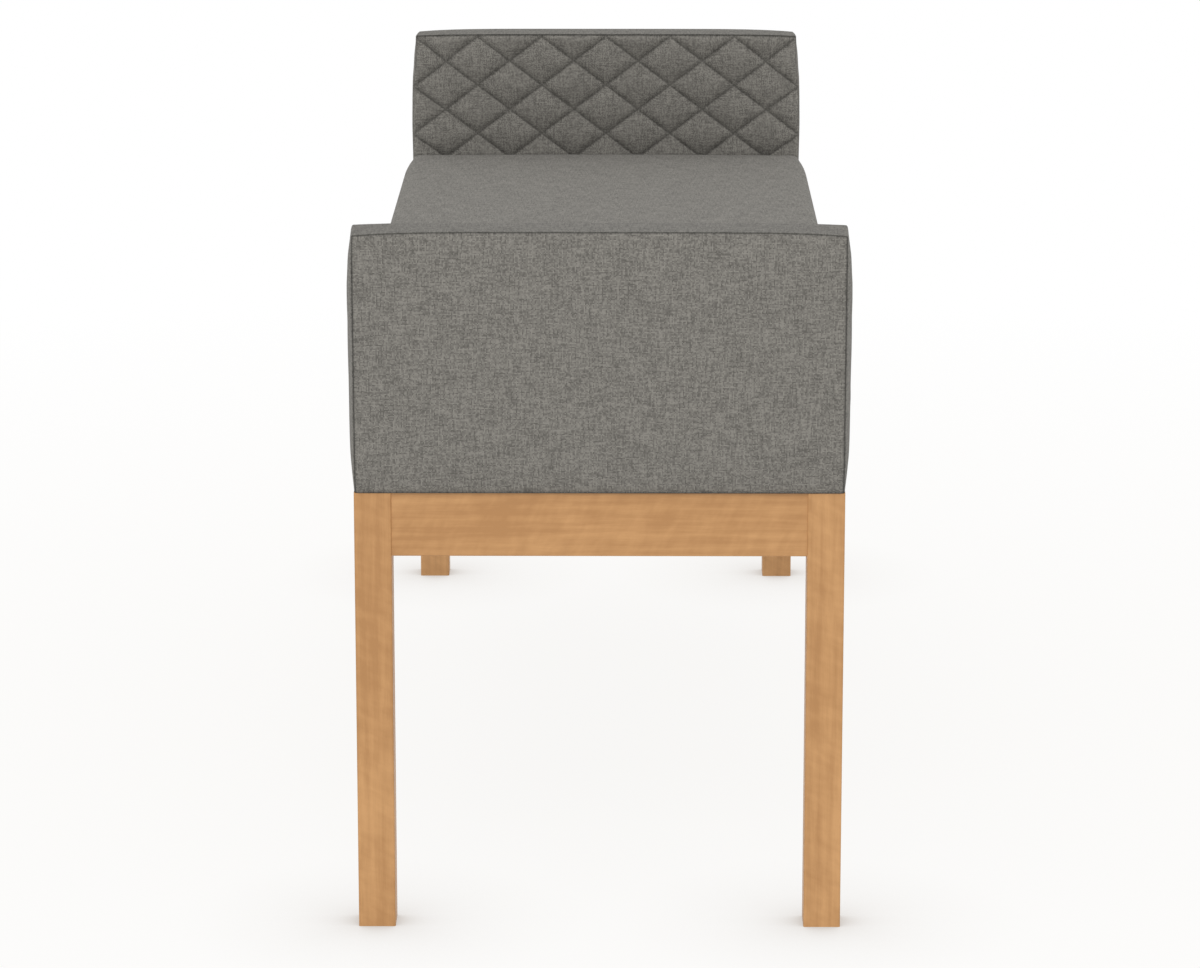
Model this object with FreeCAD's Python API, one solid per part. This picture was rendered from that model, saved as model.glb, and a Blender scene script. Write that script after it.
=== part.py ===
import FreeCAD, Part
import math
import os

# Upholstered bench with low arms, in millimetres.
# X runs along the bench, Y from front to back, Z up from the floor.

Vector = FreeCAD.Vector
ORIGIN = Vector(0, 0, 0)
ALONG = Vector(1, 0, 0)
ACROSS = Vector(0, 1, 0)
UP = Vector(0, 0, 1)

# Base frame
base_length = 1219.0
base_depth = 406.0
base_height = 376.0
leg_side = 31.0
leg_edge_round = 1.5
apron_height = 54.0
apron_thickness = 22.0
apron_setback = 1.5
apron_edge_round = 1.0
tenon_thickness = 8.0
tenon_length = 14.0
tenon_shoulder = 7.0
joint_clearance = 0.1

# Cross rails of the base
cross_rail_spacing = 400.0
cross_rail_thickness = 22.0
cross_rail_height = 40.0
cross_tenon_length = 8.0

# Corner blocks and screws
block_reach = 58.0
block_height = 40.0
block_leg_gap = 1.0
screw_shank_radius = 2.0
screw_head_radius = 4.2
screw_head_height = 2.8
screw_point_length = 5.0
corner_screw_length = 30.0
corner_screw_cover = 15.0
corner_screw_place = 36.0
corner_screw_rise = 8.0
body_screw_length = 64.0
body_screw_from_end_apron = 9.0
body_screw_from_long_apron = 26.0
body_screw_spacing = 200.0

# Seat frame
dust_cover_thickness = 1.2
side_padding = 5.5
rail_thickness = 22.0
rail_height = 45.0
seat_cross_rail_drop = 12.0
dowel_radius = 4.0
dowel_length = 28.0
dowel_height_shares = (0.3, 0.7)
webbing_width = 50.0
webbing_thickness = 1.5
webbing_end_inset = 5.0
cross_strap_count = 9
long_strap_count = 3

# Seat upholstery
fabric_thickness = 1.2
batting_thickness = 4.0
seat_thickness = 44.8
seat_crown = 4.0
seat_width_crown = 3.0
seat_side_bulge = 9.5
seat_end_bulge = 9.2
seat_waist_share = 0.72
seat_shoulder = 9.0
seat_end_drop = 10.0
seat_end_round = 14.0
soft_clearance = 0.3

# Arms
arm_rise = 127.0
arm_corner_drop = 3.0
arm_thickness = 47.0
arm_overhang = 16.0
arm_foot_overhang = 1.0
arm_knee_overhang = 10.0
arm_knee_height = 28.0
arm_knee_bow_share = 0.8
arm_panel_crown = 2.0
arm_seam_inset = 1.8
arm_seam_bow = 0.8
border_bulge = 5.0
border_foot_bulge = 1.6
border_corner_bulge = 2.4
border_top_bulge = 1.4
core_thickness = 18.0
core_setback = 2.0
core_edge_padding = 8.0
core_corner_round = 14.0

# Quilting of the inner arm panels
quilt_columns = 6
quilt_row_height = 53.4
quilt_rise = 4.5
quilt_stitch_web = 0.5
quilt_groove_width = 22.0
quilt_groove_core_width = 8.0
quilt_shoulder_share = 0.35
quilt_edge_inset = 9.0

# Arm bolts and tee nuts
bolt_count = 3
bolt_spacing = 130.0
bolt_radius = 3.0
bolt_length = 38.0
bolt_head_radius = 7.0
bolt_head_height = 4.0
bolt_clearance = 0.3
tee_flange_radius = 9.0
tee_flange_thickness = 1.5
tee_barrel_radius = 4.2
tee_barrel_length = 9.0

# Sides of the small fasteners and of their holes
round_sides = 8

# Reach of every cutting solid past the face that it cuts
overrun = 20.0

# Sizes that follow from the ones above
leg_face = base_length / 2
side_face = base_depth / 2
apron_bottom = base_height - apron_height
apron_middle = side_face - apron_setback - apron_thickness / 2
end_apron_middle = leg_face - apron_setback - apron_thickness / 2
apron_inside = side_face - apron_setback - apron_thickness
end_apron_inside = leg_face - apron_setback - apron_thickness
leg_protrusion = leg_side - apron_setback - apron_thickness
body_bottom = base_height + dust_cover_thickness
rail_top = body_bottom + rail_height
cushion_bottom = rail_top + 2 * webbing_thickness
seat_height = cushion_bottom + seat_thickness
arm_height = seat_height + arm_rise
rail_face = side_face - side_padding
rail_inside = rail_face - rail_thickness
core_outside = leg_face - core_setback
core_inside = core_outside - core_thickness
end_rail_inside = core_inside - rail_thickness
outer_seam = leg_face + arm_overhang
inner_seam = outer_seam - arm_thickness
border_start = inner_seam + fabric_thickness
seat_half_length = inner_seam - soft_clearance
arm_corner_height = arm_height - arm_corner_drop
cross_rail_places = (-cross_rail_spacing / 2, cross_rail_spacing / 2)
bolt_height = body_bottom + rail_height / 2


def box(x_low, x_high, y_low, y_high, z_low, z_high):
    """A block between two corners."""
    corner = Vector(x_low, y_low, z_low)
    return Part.makeBox(x_high - x_low, y_high - y_low, z_high - z_low, corner)


def ring(radius, length):
    """Corners of a many-sided outline about the upright axis, at a height."""
    points = []
    for number in range(round_sides):
        turn = 2 * math.pi * number / round_sides
        points.append(Vector(radius * math.cos(turn), radius * math.sin(turn), length))
    return points


def flat_face(points):
    """A flat face between corner points."""
    return Part.Face(Part.makePolygon(list(points) + [points[0]]))


def spindle(rings, tip):
    """A solid with flat sides through many-sided outlines, ending in a point."""
    faces = [flat_face(rings[0])]
    for number in range(round_sides):
        after = (number + 1) % round_sides
        for low, high in zip(rings, rings[1:]):
            faces.append(flat_face([low[number], low[after], high[after], high[number]]))
        faces.append(flat_face([rings[-1][number], rings[-1][after], tip]))
    solid = Part.makeSolid(Part.makeShell(faces))
    if solid.Volume < 0:
        solid.reverse()
    return solid


def placed(solid, start, direction):
    """A solid moved from the upright axis to a start point and a direction."""
    solid.Placement = FreeCAD.Placement(start, FreeCAD.Rotation(UP, direction))
    return solid


def rod(radius, length, start, direction):
    """A bar with the section of a small fastener."""
    bar = flat_face(ring(radius, 0)).extrude(UP * length)
    return placed(bar, start, direction)


def prism(points, travel):
    """A flat outline pushed along a vector."""
    return flat_face(points).extrude(travel)


def line(start, end):
    """A straight edge."""
    return Part.LineSegment(start, end).toShape()


def arc(start, middle, end):
    """A round edge through three points."""
    return Part.Arc(start, middle, end).toShape()


def mirrored_x(shape):
    """The same shape at the other end of the bench."""
    return shape.mirror(ORIGIN, ALONG)


def mirrored_y(shape):
    """The same shape on the other long side of the bench."""
    return shape.mirror(ORIGIN, ACROSS)


def four_corners(shape):
    """A shape from the back right corner, repeated at every corner."""
    front = mirrored_y(shape)
    return {
        "front_left": mirrored_x(front),
        "front_right": front,
        "back_left": mirrored_x(shape),
        "back_right": shape,
    }


def screw(length, start, direction, clearance=0.0):
    """A countersunk wood screw, or with a clearance the hole for it."""
    head = screw_head_radius + clearance
    shank = screw_shank_radius + clearance
    rings = [
        ring(head, 0),
        ring(shank, screw_head_height + clearance),
        ring(shank, length - screw_point_length + clearance),
    ]
    return placed(spindle(rings, UP * (length + clearance)), start, direction)


# Fasteners of the base and the body

def corner_screw_seats():
    """Head place and direction of the two level screws in the back right block."""
    middle = base_height - block_height / 2
    into_long_apron = Vector(
        end_apron_inside - corner_screw_place,
        apron_inside - corner_screw_cover,
        middle + corner_screw_rise,
    )
    into_end_apron = Vector(
        end_apron_inside - corner_screw_cover,
        apron_inside - corner_screw_place,
        middle - corner_screw_rise,
    )
    return [(into_long_apron, ACROSS), (into_end_apron, ALONG)]


def corner_screws(clearance=0.0):
    """The two level screws of the back right block."""
    return [screw(corner_screw_length, start, way, clearance) for start, way in corner_screw_seats()]


def block_body_screw(clearance=0.0):
    """The upright screw through the back right block."""
    start = Vector(
        end_apron_inside - body_screw_from_end_apron,
        apron_inside - body_screw_from_long_apron,
        base_height - block_height,
    )
    return screw(body_screw_length, start, UP, clearance)


def rail_body_screws(clearance=0.0):
    """The upright screws through the two cross rails of the base."""
    screws = []
    for x in cross_rail_places:
        for y in (-body_screw_spacing / 2, body_screw_spacing / 2):
            start = Vector(x, y, base_height - cross_rail_height)
            screws.append(screw(body_screw_length, start, UP, clearance))
    return screws


def all_body_screws(clearance=0.0):
    """Every upright screw between base and body."""
    return list(four_corners(block_body_screw(clearance)).values()) + rail_body_screws(clearance)


def all_corner_screws(clearance=0.0):
    """Every level screw of the corner blocks."""
    screws = []
    for one in corner_screws(clearance):
        screws += four_corners(one).values()
    return screws


# Base frame

def tenon_along(clearance=0.0):
    """The tenon at the right end of the back apron, or with a clearance its mortise."""
    half = tenon_thickness / 2 + clearance
    return box(
        leg_face - leg_side,
        leg_face - leg_side + tenon_length + clearance,
        apron_middle - half,
        apron_middle + half,
        apron_bottom + tenon_shoulder - clearance,
        base_height - tenon_shoulder + clearance,
    )


def tenon_across(clearance=0.0):
    """The tenon at the back end of the right apron, or with a clearance its mortise."""
    half = tenon_thickness / 2 + clearance
    return box(
        end_apron_middle - half,
        end_apron_middle + half,
        side_face - leg_side,
        side_face - leg_side + tenon_length + clearance,
        apron_bottom + tenon_shoulder - clearance,
        base_height - tenon_shoulder + clearance,
    )


def leg():
    """The back right leg, with eased edges and two mortises."""
    post = box(leg_face - leg_side, leg_face, side_face - leg_side, side_face, 0, base_height)
    upright = [edge for edge in post.Edges if edge.BoundBox.ZLength > leg_side]
    post = post.makeFillet(leg_edge_round, upright)
    return post.cut([tenon_along(joint_clearance), tenon_across(joint_clearance)])


def eased_bottom(board):
    """A board with its two long lower edges rounded."""
    longest = max(edge.Length for edge in board.Edges)
    low = board.BoundBox.ZMin
    edges = [edge for edge in board.Edges if edge.Length == longest and edge.BoundBox.ZMax == low]
    return board.makeFillet(apron_edge_round, edges)


def cross_tenon(x, clearance=0.0):
    """The stub tenon at the back end of a base cross rail, or its mortise."""
    half = tenon_thickness / 2 + clearance
    return box(
        x - half,
        x + half,
        apron_inside,
        apron_inside + cross_tenon_length + clearance,
        base_height - cross_rail_height + tenon_shoulder - clearance,
        base_height - tenon_shoulder + clearance,
    )


def long_apron():
    """The back apron, between two legs."""
    half = leg_face - leg_side
    near = apron_middle - apron_thickness / 2
    far = apron_middle + apron_thickness / 2
    board = eased_bottom(box(-half, half, near, far, apron_bottom, base_height))
    board = board.fuse([tenon_along(), mirrored_x(tenon_along())])
    board = board.cut([cross_tenon(x, joint_clearance) for x in cross_rail_places])
    return board.cut(all_corner_screws(joint_clearance))


def end_apron():
    """The right apron, between two legs."""
    half = side_face - leg_side
    near = end_apron_middle - apron_thickness / 2
    far = end_apron_middle + apron_thickness / 2
    board = eased_bottom(box(near, far, -half, half, apron_bottom, base_height))
    board = board.fuse([tenon_across(), mirrored_y(tenon_across())])
    return board.cut(all_corner_screws(joint_clearance))


def base_cross_rail(x):
    """A rail across the base, stub tenoned into both long aprons."""
    half = cross_rail_thickness / 2
    low = base_height - cross_rail_height
    rail = box(x - half, x + half, -apron_inside, apron_inside, low, base_height)
    rail = rail.fuse([cross_tenon(x), mirrored_y(cross_tenon(x))])
    return rail.cut(rail_body_screws(joint_clearance))


def corner_block():
    """The back right corner block, cut back to clear the leg."""
    start = 2 * (leg_protrusion + block_leg_gap)
    low = base_height - block_height
    corners = [(start, 0), (block_reach, 0), (0, block_reach), (0, start)]
    points = [Vector(end_apron_inside - u, apron_inside - v, low) for u, v in corners]
    block = prism(points, UP * block_height)
    pockets = [
        rod(screw_head_radius + joint_clearance, block_reach, seat, -way)
        for seat, way in corner_screw_seats()
    ]
    holes = corner_screws(joint_clearance) + [block_body_screw(joint_clearance)]
    return block.cut(pockets + holes)


# Seat frame

def dowel(x, y, rail_size, clearance=0.0):
    """The two dowels that join the end of one rail to a long rail."""
    reach = dowel_length / 2 + clearance
    pair = []
    for share in dowel_height_shares:
        start = Vector(x, y - reach, body_bottom + rail_size * share)
        pair.append(rod(dowel_radius + clearance, 2 * reach, start, ACROSS))
    return pair


def seat_dowels(clearance=0.0):
    """Every dowel of the seat frame."""
    dowels = []
    end_middle = core_inside - rail_thickness / 2
    for y in (-rail_inside, rail_inside):
        for x in (-end_middle, end_middle):
            dowels += dowel(x, y, rail_height, clearance)
        for x in cross_rail_places:
            dowels += dowel(x, y, rail_height - seat_cross_rail_drop, clearance)
    return dowels


def long_seat_rail():
    """The back rail of the seat frame."""
    rail = box(-core_inside, core_inside, rail_inside, rail_face, body_bottom, rail_top)
    return rail.cut(seat_dowels(joint_clearance))


def end_seat_rail():
    """The right rail of the seat frame, drilled for its bolts and tee nuts."""
    top = rail_top + webbing_thickness
    rail = box(end_rail_inside, core_inside, -rail_inside, rail_inside, body_bottom, top)
    return rail.cut(seat_dowels(joint_clearance) + bolt_holes() + all_body_screws(joint_clearance))


def seat_cross_rail(x):
    """A low rail across the seat frame, under the sagging webbing."""
    half = cross_rail_thickness / 2
    top = rail_top - seat_cross_rail_drop
    rail = box(x - half, x + half, -rail_inside, rail_inside, body_bottom, top)
    return rail.cut(seat_dowels(joint_clearance) + rail_body_screws(joint_clearance))


def cross_straps():
    """Webbing straps from the front rail to the back rail."""
    half = rail_face - webbing_end_inset
    first = end_rail_inside - webbing_width
    step = 2 * first / (cross_strap_count - 1)
    straps = []
    for number in range(cross_strap_count):
        x = -first + number * step
        straps.append(box(
            x - webbing_width / 2,
            x + webbing_width / 2,
            -half,
            half,
            rail_top,
            rail_top + webbing_thickness,
        ))
    return Part.makeCompound(straps)


def long_straps():
    """Webbing straps from the left rail to the right rail."""
    half = core_inside - webbing_end_inset
    step = 2 * rail_inside / (long_strap_count + 1)
    straps = []
    for number in range(long_strap_count):
        y = -rail_inside + (number + 1) * step
        straps.append(box(
            -half,
            half,
            y - webbing_width / 2,
            y + webbing_width / 2,
            rail_top + webbing_thickness,
            cushion_bottom,
        ))
    return Part.makeCompound(straps)


def dust_cover():
    """A thin cloth between body and base, pierced by the upright screws."""
    sheet = box(-core_outside, core_outside, -rail_face, rail_face, base_height, body_bottom)
    return sheet.cut(all_body_screws(joint_clearance))


# Seat upholstery

def seat_section(x, inset, top, bulge):
    """One slice of the seat across the bench: flared sides, round shoulders, crowned top."""
    foot = side_face - inset
    shoulder = seat_shoulder - inset
    shoulder_height = top - seat_shoulder
    edge = foot + bulge
    inner = edge - shoulder
    lean = shoulder * math.sqrt(0.5)
    top_edge = shoulder_height + shoulder
    waist = (base_height + shoulder_height) / 2
    low_left = Vector(x, -foot, base_height)
    low_right = Vector(x, foot, base_height)
    left = Vector(x, -edge, shoulder_height)
    right = Vector(x, edge, shoulder_height)
    top_left = Vector(x, -inner, top_edge)
    top_right = Vector(x, inner, top_edge)
    return Part.Wire([
        line(low_left, low_right),
        arc(low_right, Vector(x, foot + bulge * seat_waist_share, waist), right),
        arc(right, Vector(x, inner + lean, shoulder_height + lean), top_right),
        arc(top_right, Vector(x, 0, top_edge + seat_width_crown), top_left),
        arc(top_left, Vector(x, -inner - lean, shoulder_height + lean), left),
        arc(left, Vector(x, -foot - bulge * seat_waist_share, waist), low_left),
    ])


# Station along half the seat: share of the end rounding, share of the end drop
seat_end_shares = ((0.0, 1.0), (0.3, 0.3), (1.0, 0.0))
# Station along the middle: share of the half length, share of the crown
seat_crown_shares = ((0.5, 0.75), (0.0, 1.0))


def seat_form(inset):
    """The seat's padded form, drawn in by an inset on every side but the bottom."""
    stations = []
    low_top = seat_height - seat_width_crown
    for round_share, drop_share in seat_end_shares:
        x = seat_half_length - inset - seat_end_round * round_share
        stations.append((x, low_top - seat_end_drop * drop_share, seat_end_bulge))
    for place_share, crown_share in seat_crown_shares:
        bulge = seat_end_bulge + (seat_side_bulge - seat_end_bulge) * crown_share
        stations.append((seat_half_length * place_share, low_top + seat_crown * crown_share, bulge))
    stations = [(-x, top, bulge) for x, top, bulge in stations[:-1]] + stations[::-1]
    wires = [seat_section(x, inset, top, bulge) for x, top, bulge in stations]
    return Part.makeLoft(wires, True, True)


def seat_frame_space():
    """The room that the seat frame and webbing take inside the padding."""
    half = side_face - fabric_thickness - batting_thickness
    low = base_height - overrun
    return box(-leg_face, leg_face, -half, half, low, cushion_bottom)


def seat_padding():
    """Foam, batting and fabric of the seat, one inside the other."""
    outside = seat_form(0)
    under_fabric = seat_form(fabric_thickness)
    under_batting = seat_form(fabric_thickness + batting_thickness)
    space = seat_frame_space()
    low = base_height - overrun
    below = box(-leg_face, leg_face, -base_depth, base_depth, low, cushion_bottom)
    return {
        "seat_cover": outside.cut(under_fabric).cut(space),
        "seat_batting": under_fabric.cut(under_batting).cut(space),
        "seat_foam": under_batting.cut(below),
    }


# Arms, modelled at the right end

def arm_outline(x, inset, swell_share=0.0):
    """The arm seen from its end: upright at its seams, swollen at its sides between them."""
    seam = side_face - arm_seam_inset - inset
    bow = arm_seam_bow + border_bulge * swell_share
    foot = seam + border_foot_bulge * swell_share
    knee = seam + bow * arm_knee_bow_share
    waist = seam + bow
    corner = seam + border_corner_bulge * swell_share
    top = arm_height - inset + border_top_bulge * swell_share
    knee_height = base_height + arm_knee_height
    corner_height = top - arm_corner_drop
    waist_height = (knee_height + corner_height) / 2
    calf = (foot + knee) / 2 + (knee - foot) / 4
    calf_height = base_height + arm_knee_height / 2

    def point(y, z):
        return Vector(x, y, z)

    return Part.Wire([
        line(point(-foot, base_height), point(foot, base_height)),
        arc(point(foot, base_height), point(calf, calf_height), point(knee, knee_height)),
        arc(point(knee, knee_height), point(waist, waist_height), point(corner, corner_height)),
        arc(point(corner, corner_height), point(0, top), point(-corner, corner_height)),
        arc(point(-corner, corner_height), point(-waist, waist_height), point(-knee, knee_height)),
        arc(point(-knee, knee_height), point(-calf, calf_height), point(-foot, base_height)),
    ])


# Station across the border strip: share of its width, share of its bulge
border_shares = ((0.0, 0.0), (0.25, 0.75), (0.5, 1.0), (0.75, 0.75), (1.0, 0.0))


def arm_block(inset):
    """The padded arm's outline as a block, bowed across the border strip."""
    width = outer_seam - border_start
    wires = []
    for place_share, swell_share in border_shares:
        x = border_start + width * place_share
        wires.append(arm_outline(x, inset, swell_share))
    wires.append(arm_outline(outer_seam + overrun, inset))
    return Part.makeLoft(wires, True, True)


# Station up the outer panel: share of the way from foot to knee and from knee to top,
# share of the overhang gained there, share of the crown
panel_foot_shares = ((0.0, 0.0, 0.1), (0.5, 0.7, 0.2), (1.0, 1.0, 0.5))
panel_face_shares = ((0.5, 0.7, 1.0), (1.0, 1.0, 0.5))


def outer_surface(inset):
    """The room behind the outer panel's crowned face, out of the arm's inside."""
    knee_height = base_height + arm_knee_height
    stations = []
    for height_share, overhang_share, crown_share in panel_foot_shares:
        overhang = arm_foot_overhang + (arm_knee_overhang - arm_foot_overhang) * overhang_share
        stations.append((base_height + arm_knee_height * height_share, overhang, crown_share))
    for height_share, overhang_share, crown_share in panel_face_shares:
        overhang = arm_knee_overhang + (arm_overhang - arm_knee_overhang) * overhang_share
        height = knee_height + (arm_height + overrun - knee_height) * height_share
        stations.append((height, overhang, crown_share))
    half = side_face + overrun
    start = border_start - overrun
    wires = []
    for height, overhang, crown_share in stations:
        edge = leg_face + overhang - inset
        low_in = Vector(start, -half, height)
        high_in = Vector(start, half, height)
        low_out = Vector(edge, -half, height)
        high_out = Vector(edge, half, height)
        crown = Vector(edge + arm_panel_crown * crown_share, 0, height)
        wires.append(Part.Wire([
            line(low_out, low_in),
            line(low_in, high_in),
            line(high_in, high_out),
            arc(high_out, crown, low_out),
        ]))
    return Part.makeLoft(wires, True, True)


def bolt_places():
    """Heights and places of the arm's bolts across the bench."""
    first = -bolt_spacing * (bolt_count - 1) / 2
    return [Vector(0, first + number * bolt_spacing, bolt_height) for number in range(bolt_count)]


def bolt_head_seat():
    """Where the bolt heads bear, sunk into the core."""
    return core_outside - bolt_head_height - bolt_clearance


def arm_bolts():
    """Pan head bolts through core and end rail."""
    bolts = []
    for place in bolt_places():
        seat = place + ALONG * bolt_head_seat()
        head = rod(bolt_head_radius, bolt_head_height, seat, ALONG)
        bolts.append(head.fuse(rod(bolt_radius, bolt_length, seat, -ALONG)).removeSplitter())
    return Part.makeCompound(bolts)


def tee_nuts():
    """Flanged nuts pressed into the inner face of the end rail."""
    nuts = []
    for place in bolt_places():
        seat = place + ALONG * end_rail_inside
        flange = rod(tee_flange_radius, tee_flange_thickness, seat, -ALONG)
        nut = flange.fuse(rod(tee_barrel_radius, tee_barrel_length, seat, ALONG))
        bore = rod(
            bolt_radius + joint_clearance,
            2 * (tee_barrel_length + overrun),
            seat - ALONG * (tee_barrel_length + overrun),
            ALONG,
        )
        nuts.append(nut.cut(bore))
    return Part.makeCompound(nuts)


def bolt_holes():
    """Clearance holes for bolts and tee nut barrels in the end rail."""
    holes = []
    for place in bolt_places():
        seat = place + ALONG * (end_rail_inside - overrun)
        holes.append(rod(bolt_radius + bolt_clearance, rail_thickness + 2 * overrun, seat, ALONG))
        barrel = rod(tee_barrel_radius + joint_clearance, tee_barrel_length + overrun, seat, ALONG)
        holes.append(barrel)
    return holes


def core_panel(low):
    """The core's outline from a height upwards, with rounded top corners."""
    half = side_face - core_edge_padding
    panel = box(core_inside, core_outside, -half, half, low, arm_height - core_edge_padding)
    top_edges = [
        edge for edge in panel.Edges
        if edge.BoundBox.XLength > core_thickness / 2 and edge.BoundBox.ZMin > cushion_bottom
    ]
    return panel.makeFillet(core_corner_round, top_edges)


def arm_core():
    """Plywood panel, drilled for the bolts and for their sunk heads."""
    holes = []
    for place in bolt_places():
        seat = place + ALONG * bolt_head_seat()
        holes.append(rod(bolt_radius + bolt_clearance, core_thickness, seat, -ALONG))
        holes.append(rod(bolt_head_radius + bolt_clearance, core_thickness, seat, ALONG))
    return core_panel(body_bottom).cut(holes)


def slab(x_low, x_high, z_low):
    """A wide block between two planes across the bench, from a height upwards."""
    return box(x_low, x_high, -base_depth, base_depth, z_low, arm_height + overrun)


def arm_upholstery():
    """Foam, wrap, panels and border of the right arm."""
    outline = arm_block(0)
    under_fabric = arm_block(fabric_thickness)
    outer_face = outer_surface(0)
    behind_panel = outer_surface(fabric_thickness)
    outer_room = slab(core_outside, outer_seam + overrun, base_height)
    edge_room = slab(core_inside, core_outside, body_bottom)
    return {
        "outer_foam": under_fabric.common(behind_panel).common(outer_room),
        "edge_wrap": under_fabric.common(edge_room).cut(core_panel(base_height)),
        "inner_foam": under_fabric.common(slab(border_start, core_inside, cushion_bottom)),
        "outer_panel": outline.common(outer_face.cut(behind_panel)),
        "border": outline.cut(under_fabric).common(behind_panel),
        "inner_panel": inner_panel(),
    }


def quilt_groove(y, turn):
    """A sewn channel through a point of the top seam, turned from upright."""
    half = quilt_groove_width / 2
    core = quilt_groove_core_width / 2
    top = inner_seam - quilt_rise
    shoulder = top + quilt_rise * quilt_shoulder_share
    bottom = inner_seam - quilt_stitch_web
    reach = arm_height
    profile = [
        (top - overrun, -half),
        (top, -half),
        (shoulder, -core),
        (bottom, 0),
        (shoulder, core),
        (top, half),
        (top - overrun, half),
    ]
    groove = prism([Vector(x, across, -reach) for x, across in profile], UP * (2 * reach))
    groove.rotate(ORIGIN, ALONG, turn)
    groove.translate(Vector(0, y, arm_corner_height))
    return groove


def inner_panel():
    """The quilted panel: thin at its stitched lines, puffed up in diamonds above the seat."""
    backing = Part.Face(arm_outline(inner_seam, 0)).extrude(ALONG * fabric_thickness)
    backing = backing.common(slab(inner_seam, border_start, cushion_bottom))
    crest = inner_seam - quilt_rise
    puff = Part.makeLoft([arm_outline(crest, quilt_edge_inset), arm_outline(inner_seam, 0)], True, True)
    puff = puff.common(slab(crest, inner_seam, seat_height))
    width = 2 * (side_face - arm_seam_inset)
    pitch = width / quilt_columns
    turn = math.degrees(math.atan2(pitch, quilt_row_height))
    grooves = []
    for number in range(-quilt_columns, quilt_columns + 1):
        y = number * pitch + (quilt_columns % 2) * pitch / 2
        grooves.append(quilt_groove(y, turn))
        grooves.append(quilt_groove(y, -turn))
    return puff.cut(grooves).fuse(backing).removeSplitter()


# The whole bench, node by node

nodes = {}
for place, piece in four_corners(leg()).items():
    nodes[place + "_leg"] = piece
nodes["back_apron"] = long_apron()
nodes["front_apron"] = mirrored_y(nodes["back_apron"])
nodes["right_apron"] = end_apron()
nodes["left_apron"] = mirrored_x(nodes["right_apron"])
for place, piece in four_corners(corner_block()).items():
    nodes[place + "_corner_block"] = piece
nodes["corner_block_screws"] = Part.makeCompound(all_corner_screws())
nodes["body_screws"] = Part.makeCompound(all_body_screws())
for side, x in zip(("left", "right"), cross_rail_places):
    nodes[side + "_base_cross_rail"] = base_cross_rail(x)
    nodes[side + "_seat_cross_rail"] = seat_cross_rail(x)

nodes["back_seat_rail"] = long_seat_rail()
nodes["front_seat_rail"] = mirrored_y(nodes["back_seat_rail"])
nodes["right_seat_rail"] = end_seat_rail()
nodes["left_seat_rail"] = mirrored_x(nodes["right_seat_rail"])
nodes["seat_dowels"] = Part.makeCompound(seat_dowels())
nodes["cross_webbing"] = cross_straps()
nodes["long_webbing"] = long_straps()
nodes["dust_cover"] = dust_cover()
nodes.update(seat_padding())

arm_pieces = {"core": arm_core(), "bolts": arm_bolts(), "tee_nuts": tee_nuts()}
arm_pieces.update(arm_upholstery())
for name, piece in arm_pieces.items():
    nodes["right_arm_" + name] = piece
    nodes["left_arm_" + name] = mirrored_x(piece)

os.makedirs("parts", exist_ok=True)
for name, piece in nodes.items():
    piece.exportStep("parts/" + name + ".step")
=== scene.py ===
import math

import bpy
import numpy as np
from bpy.props import FloatProperty, FloatVectorProperty, IntProperty, PointerProperty
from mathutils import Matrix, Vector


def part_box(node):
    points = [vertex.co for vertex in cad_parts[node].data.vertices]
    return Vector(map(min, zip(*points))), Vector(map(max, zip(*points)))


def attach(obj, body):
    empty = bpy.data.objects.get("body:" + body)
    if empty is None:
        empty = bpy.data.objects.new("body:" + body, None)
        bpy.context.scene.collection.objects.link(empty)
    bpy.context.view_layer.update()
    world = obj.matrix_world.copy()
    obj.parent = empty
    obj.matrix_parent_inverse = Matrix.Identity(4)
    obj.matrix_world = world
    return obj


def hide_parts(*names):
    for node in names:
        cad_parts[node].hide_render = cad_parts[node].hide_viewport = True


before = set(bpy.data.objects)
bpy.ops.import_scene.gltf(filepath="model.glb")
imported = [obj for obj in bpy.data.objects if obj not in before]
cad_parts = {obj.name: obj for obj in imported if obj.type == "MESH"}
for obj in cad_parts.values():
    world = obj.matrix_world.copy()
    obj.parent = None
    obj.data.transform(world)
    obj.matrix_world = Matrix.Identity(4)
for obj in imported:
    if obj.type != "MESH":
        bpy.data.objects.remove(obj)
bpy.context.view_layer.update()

bl_info = {
    "name": "Upholstered bench",
    "version": (1, 0, 0),
    "blender": (4, 5, 0),
    "location": "View3D > Sidebar > Bench",
    "description": "Dresses the bench frame with padded fabric, quilting and maple",
    "category": "Object",
}

SIDES = (("left", -1), ("right", 1))
LEGS = ["front_left_leg", "front_right_leg", "back_left_leg", "back_right_leg"]
LONG_APRONS = ["front_apron", "back_apron"]
END_APRONS = ["left_apron", "right_apron"]
BASE_CROSS = ["left_base_cross_rail", "right_base_cross_rail"]
BLOCKS = [
    "front_left_corner_block",
    "front_right_corner_block",
    "back_left_corner_block",
    "back_right_corner_block",
]
LONG_RAILS = ["front_seat_rail", "back_seat_rail"]
END_RAILS = ["left_seat_rail", "right_seat_rail"]
SEAT_CROSS = ["left_seat_cross_rail", "right_seat_cross_rail"]
CORES = ["left_arm_core", "right_arm_core"]

# Turns that bring the grain from Z to the length of a piece
GRAIN_UP = (0, 0, 0)
GRAIN_ALONG = (0, math.pi / 2, 0)
GRAIN_ACROSS = (math.pi / 2, 0, 0)


def size(name, text, value, low=0.0, high=2.0):
    """A length in metres that a user can set."""
    return FloatProperty(
        name=name, description=text, default=value, min=low, max=high,
        unit="LENGTH", subtype="DISTANCE", precision=5,
    )


def share(name, text, value, low=0.0, high=1.0):
    """A plain number that a user can set."""
    return FloatProperty(name=name, description=text, default=value, min=low, max=high)


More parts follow.
